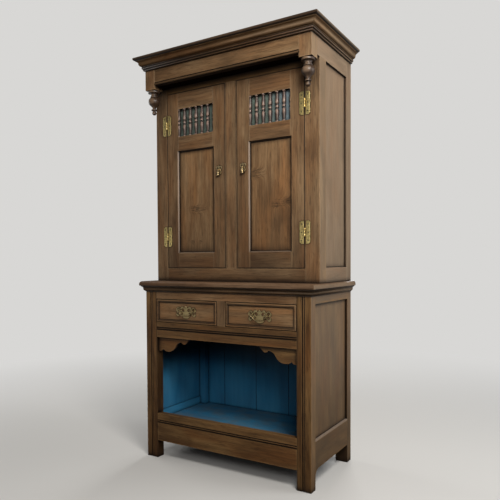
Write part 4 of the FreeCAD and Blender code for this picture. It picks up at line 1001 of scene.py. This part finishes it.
# Drawer handles
handle_plate_shares = [
    (0.0, 0.50), (0.22, 0.28, 0.08, 0.36), (0.50, 0.30, 0.36, 0.42), (0.62, 0.20),
    (0.90, 0.26, 0.76, 0.36), (0.84, -0.02, 1.0, 0.13), (0.96, -0.18),
    (0.66, -0.22, 0.82, -0.36), (0.46, -0.14), (0.36, -0.36), (0.0, -0.50, 0.20, -0.47),
]
handle_piercing_shares = (
    ((0.11, 0.11), (0.28, 0.29), (0.48, 0.20), (0.26, -0.04)),
    ((0.28, -0.10), (0.45, 0.00), (0.44, -0.13), (0.34, -0.30)),
    ((0.63, 0.15), (0.76, 0.33), (0.90, 0.20), (0.76, 0.02)),
    ((0.62, -0.07), (0.77, 0.03), (0.91, -0.14), (0.73, -0.29)),
)
plate_round_over = 0.35

# A bail runs down beside its eye and then through three bends, each a radius and a turn
bail_bends = ((9.0, -70.0), (12.0, 30.0), (34.0, -50.0))
bail_bend_steps = 8
bail_side_offset = 7.2
bail_straight = 4.0
bail_swell = 0.5
bail_swell_rings = 9
bail_eye_offset = 4.9
bail_eye = [(3.3, 0.0), (3.9, 0.6), (3.9, 4.0), (3.3, 4.6)]
bail_pin_inset = 4.0
bail_pin = [(1.9, 0.0), (1.9, 8.9)]


def both_sides(outline):
    """A right-hand half outline from top to bottom, closed by its mirror image."""
    left = [(-before[0], before[1]) + ((-here[2], here[3]) if len(here) == 4 else ())
            for before, here in zip(outline, outline[1:])]
    return outline + left[::-1]


def pierced_plate(outline_shares, piercings, size, *middle):
    """A thin plate with a symmetrical outline and smooth piercings on both sides."""
    width, height, thickness = size
    outlines = [scaled(both_sides(outline_shares), width / 2, height)]
    for piercing in piercings:
        for way in (-1, 1):
            outlines.append(softened(scaled(piercing, way * width / 2, height)))
    return plate_mesh(outlines, thickness, plate_round_over, *middle)


def bail_path(x):
    """Half of a bail's line, from beside its eye down to its middle."""
    place = Vector((x + handle_post_spacing / 2 + bail_side_offset, bail_axis_y, bail_level))
    heading = -math.pi / 2
    points = [place.copy()]
    place.z -= bail_straight
    points.append(place.copy())
    for radius, turn in bail_bends:
        side = math.copysign(1, turn)
        aside = Vector((-math.sin(heading), 0, math.cos(heading)))
        centre = place + aside * (radius * side)
        step = Matrix.Rotation(-math.radians(turn) / bail_bend_steps, 3, "Y")
        for _ in range(bail_bend_steps):
            place = centre + step @ (place - centre)
            points.append(place.copy())
        heading += math.radians(turn)
    points.append(Vector((x, place.y, place.z)))
    return points


def bail_meshes(x):
    """A bail with its two eyes and the pins that they turn on."""
    half = bail_path(x)
    points = half + [Vector((2 * x - p.x, p.y, p.z)) for p in reversed(half[:-1])]
    middle = len(points) // 2
    radii = [bail_radius + bail_swell * max(0.0, 1 - abs(i - middle) / bail_swell_rings) ** 2
             for i in range(len(points))]
    meshes = [tube_mesh(points, radii)]
    for way in (-1, 1):
        for profile, offset, sides in ((bail_eye, bail_eye_offset, 24),
                                       (bail_pin, -bail_pin_inset, 16)):
            start = (x + way * (handle_post_spacing / 2 + offset), bail_axis_y, bail_level)
            meshes.append(lathe_mesh(profile, start, (way, 0, 0), sides))
    return meshes


post_profile = [
    (4.6, 0.0), (4.6, 0.8), (3.5, 2.0, 3.8, 1.2), (3.4, 9.4), (4.5, 11.8, 4.4, 10.2),
    (3.6, 13.3, 4.4, 12.9), (0.4, 13.5),
]
handle_bright_half_width = 21.0
handle_bright_drops = (30.0, 1.0)
for side, sign in hands:
    x = sign * drawer_x
    face_y = drawer_face - handle_plate_size[-1]
    meshes = [pierced_plate(handle_plate_shares, handle_piercing_shares, handle_plate_size, x,
                            drawer_face, handle_level)]
    for way in (-1, 1):
        start = (x + way * handle_post_spacing / 2, face_y, bail_level)
        meshes.append(lathe_mesh(post_profile, start, (0, -1, 0), sides=24))
    bright = [((x + way * handle_bright_half_width) * MM, way * BEYOND,
               (handle_level - drop) * MM) for way, drop in zip((-1, 1), handle_bright_drops)]
    drawer = "drawer_" + side
    link("handle_plate_" + side, meshes, brass("handle", *bright), drawer,
         drawer + "_handle_plate")
    bail = "bail_" + side
    link(bail, bail_meshes(x), brass("bronze"), bail, drawer + "_bail")

# Door pulls
pull_plate_shares = [
    (0.0, 0.5), (0.36, 0.36, 0.14, 0.40), (0.92, 0.16, 0.86, 0.33), (0.52, 0.0),
    (0.80, -0.22), (0.0, -0.5, 0.46, -0.43),
]
pull_piercing_shares = (
    ((0.12, 0.22), (0.44, 0.33), (0.76, 0.17), (0.32, 0.06)),
    ((0.20, -0.07), (0.46, -0.12), (0.54, -0.30), (0.18, -0.27)),
)
stud_profile = [(4.3, 0.0), (4.3, 0.9), (3.6, 1.6), (3.4, 7.0), (3.6, 9.8), (2.6, 11.0),
                (0.3, 11.0)]
drop_profile = [
    (2.3, 5.0), (2.8, 6.4, 2.7, 5.4), (2.6, 9.0), (4.0, 16.0, 2.9, 13.0),
    (6.4, 23.6, 5.6, 20.2), (6.2, 26.2, 6.7, 25.0), (3.4, 27.6, 5.2, 27.2), (0.6, 28.0),
]
drop_eye = [(2.6, 0.0), (3.0, 0.4), (3.0, 1.6), (2.6, 2.0)]
pull_pin = [(1.25, 0.0), (1.25, 6.6)]
fork_half_gap = 1.3
shackle_low = Vector((-1.0, -1.4, -6.4))
shackle_high = Vector((1.0, 1.4, -0.5))
for side, sign in hands:
    x = sign * pull_x
    face_y = door_face - pull_plate_size[-1]
    stud = lathe_mesh(stud_profile, (x, face_y, pull_level), (0, -1, 0), sides=24)
    meshes = [pierced_plate(pull_plate_shares, pull_piercing_shares, pull_plate_size, x,
                            door_face, pull_level)]
    for way in (-1, 1):
        meshes.append(halved(stud.copy(), (x + way * fork_half_gap, face_y, pull_level),
                             (way, 0, 0)))
    bpy.data.meshes.remove(stud)
    centre = Vector((x, pull_axis_y, pull_level))
    aside = Vector((1, 0, 0))
    start = centre - aside * pull_pin[-1][1] / 2
    meshes.append(lathe_mesh(pull_pin, start, aside, sides=12))
    door = "door_" + side
    link("pull_plate_" + side, meshes, brass("bronze"), door, door + "_pull_plate")
    meshes = [
        lathe_mesh(drop_profile, centre, (0, 0, -1), sides=28),
        lathe_mesh(drop_eye, centre - aside * drop_eye[-1][1] / 2, aside, sides=20),
        block_mesh(centre + shackle_low, centre + shackle_high),
    ]
    link("pull_drop_" + side, meshes, brass("bronze"), "drop_" + side,
         door + "_pull_drop")


world_tint = (0.95, 0.97, 1.0, 1.0)
world_strength = 0.14
floor_radius = 14.0
floor_fade = (0.9, 3.4)


def studio():
    """An even pale backdrop, and a faint light from all round."""
    world = bpy.context.scene.world or bpy.data.worlds.new("studio")
    bpy.context.scene.world = world
    world.use_nodes = True
    tree = world.node_tree
    tree.nodes.clear()
    paths = add_node(tree, "ShaderNodeLightPath").outputs
    seen = add_node(tree, "ShaderNodeMath", {
        0: paths["Is Camera Ray"], 1: paths["Is Transmission Ray"]}, operation="MAXIMUM")
    light = add_node(tree, "ShaderNodeBackground", {
        "Color": world_tint, "Strength": world_strength})
    back = add_node(tree, "ShaderNodeBackground", {"Color": backdrop_tone})
    choose = add_node(tree, "ShaderNodeMixShader", {
        0: seen.outputs[0], 1: light.outputs[0], 2: back.outputs[0]})
    add_node(tree, "ShaderNodeOutputWorld", {0: choose.outputs[0]})


def floor():
    """A pale floor that melts into the backdrop away from the cupboard."""
    work = bmesh.new()
    bmesh.ops.create_circle(work, cap_ends=True, segments=96, radius=floor_radius)
    piece = placed("studio_floor", made(work, "studio_floor"))
    look = Look("studio_floor")
    spread = look.add("VectorMath", {0: look.place}, operation="LENGTH")
    fade = look.ramp(spread.outputs["Value"], *floor_fade, run="SMOOTHSTEP")
    paths = look.add("LightPath").outputs
    seen = look.most(paths["Is Camera Ray"], paths["Is Glossy Ray"])
    tone = look.mix(paths["Is Camera Ray"], floor_bounce, floor_tone)
    matt = look.add("BsdfDiffuse", {"Color": tone})
    glow = look.add("Emission", {"Color": backdrop_tone})
    blend = look.add("MixShader", {
        0: look.times(fade, seen), 1: matt.outputs[0], 2: glow.outputs[0]})
    look.add("OutputMaterial", {"Surface": blend.outputs[0]})
    piece.data.materials.append(look.material)


def lamp(name, place, target, size, power, tint):
    """A soft lamp aimed at a target, in metres and watts."""
    data = bpy.data.lights.new(name, "AREA")
    data.shape = "RECTANGLE"
    data.size, data.size_y = size
    data.energy = power
    data.color = tint
    piece = placed(name, data)
    piece.location = place
    piece.rotation_mode = "QUATERNION"
    piece.rotation_quaternion = (Vector(target) - Vector(place)).to_track_quat("-Z", "Y")


def camera():
    """The photograph's viewpoint: yaw to the left, a slight pitch and roll, and a lens shift."""
    data = bpy.data.cameras.new("camera")
    data.sensor_width = 36.0
    data.lens = focal_length_px / picture_width_px * data.sensor_width
    data.shift_y = (principal_row_px - picture_width_px / 2) / picture_width_px
    piece = placed("camera", data)
    piece.matrix_world = (Matrix.Translation(camera_place)
                          @ Matrix.Rotation(camera_yaw, 4, "Z")
                          @ Matrix.Rotation(math.pi / 2 + camera_pitch, 4, "X")
                          @ Matrix.Rotation(camera_roll, 4, "Z"))
    bpy.context.scene.camera = piece


studio()
floor()
lamp("key", (1.55, -1.30, 2.30), (0.0, 0.0, 1.2), (0.7, 0.7), 44.0, (1.0, 0.97, 0.93))
lamp("front", (2.2, -3.0, 2.15), (0.0, 0.0, 0.9), (1.0, 1.0), 36.0, (1.0, 0.98, 0.96))
lamp("side", (2.4, 0.6, 1.8), (0.4, 0.0, 1.0), (1.0, 1.4), 20.0, (0.96, 0.98, 1.0))
lamp("left", (-2.8, 0.3, 2.0), (-0.4, 0.1, 1.0), (1.2, 1.2), 22.0, (1.0, 0.99, 0.97))
lamp("back", (-0.6, 3.4, 2.3), (0.0, 0.2, 1.0), (1.4, 1.4), 60.0, (0.98, 0.99, 1.0))
camera()

bpy.context.scene.view_settings.view_transform = "Standard"
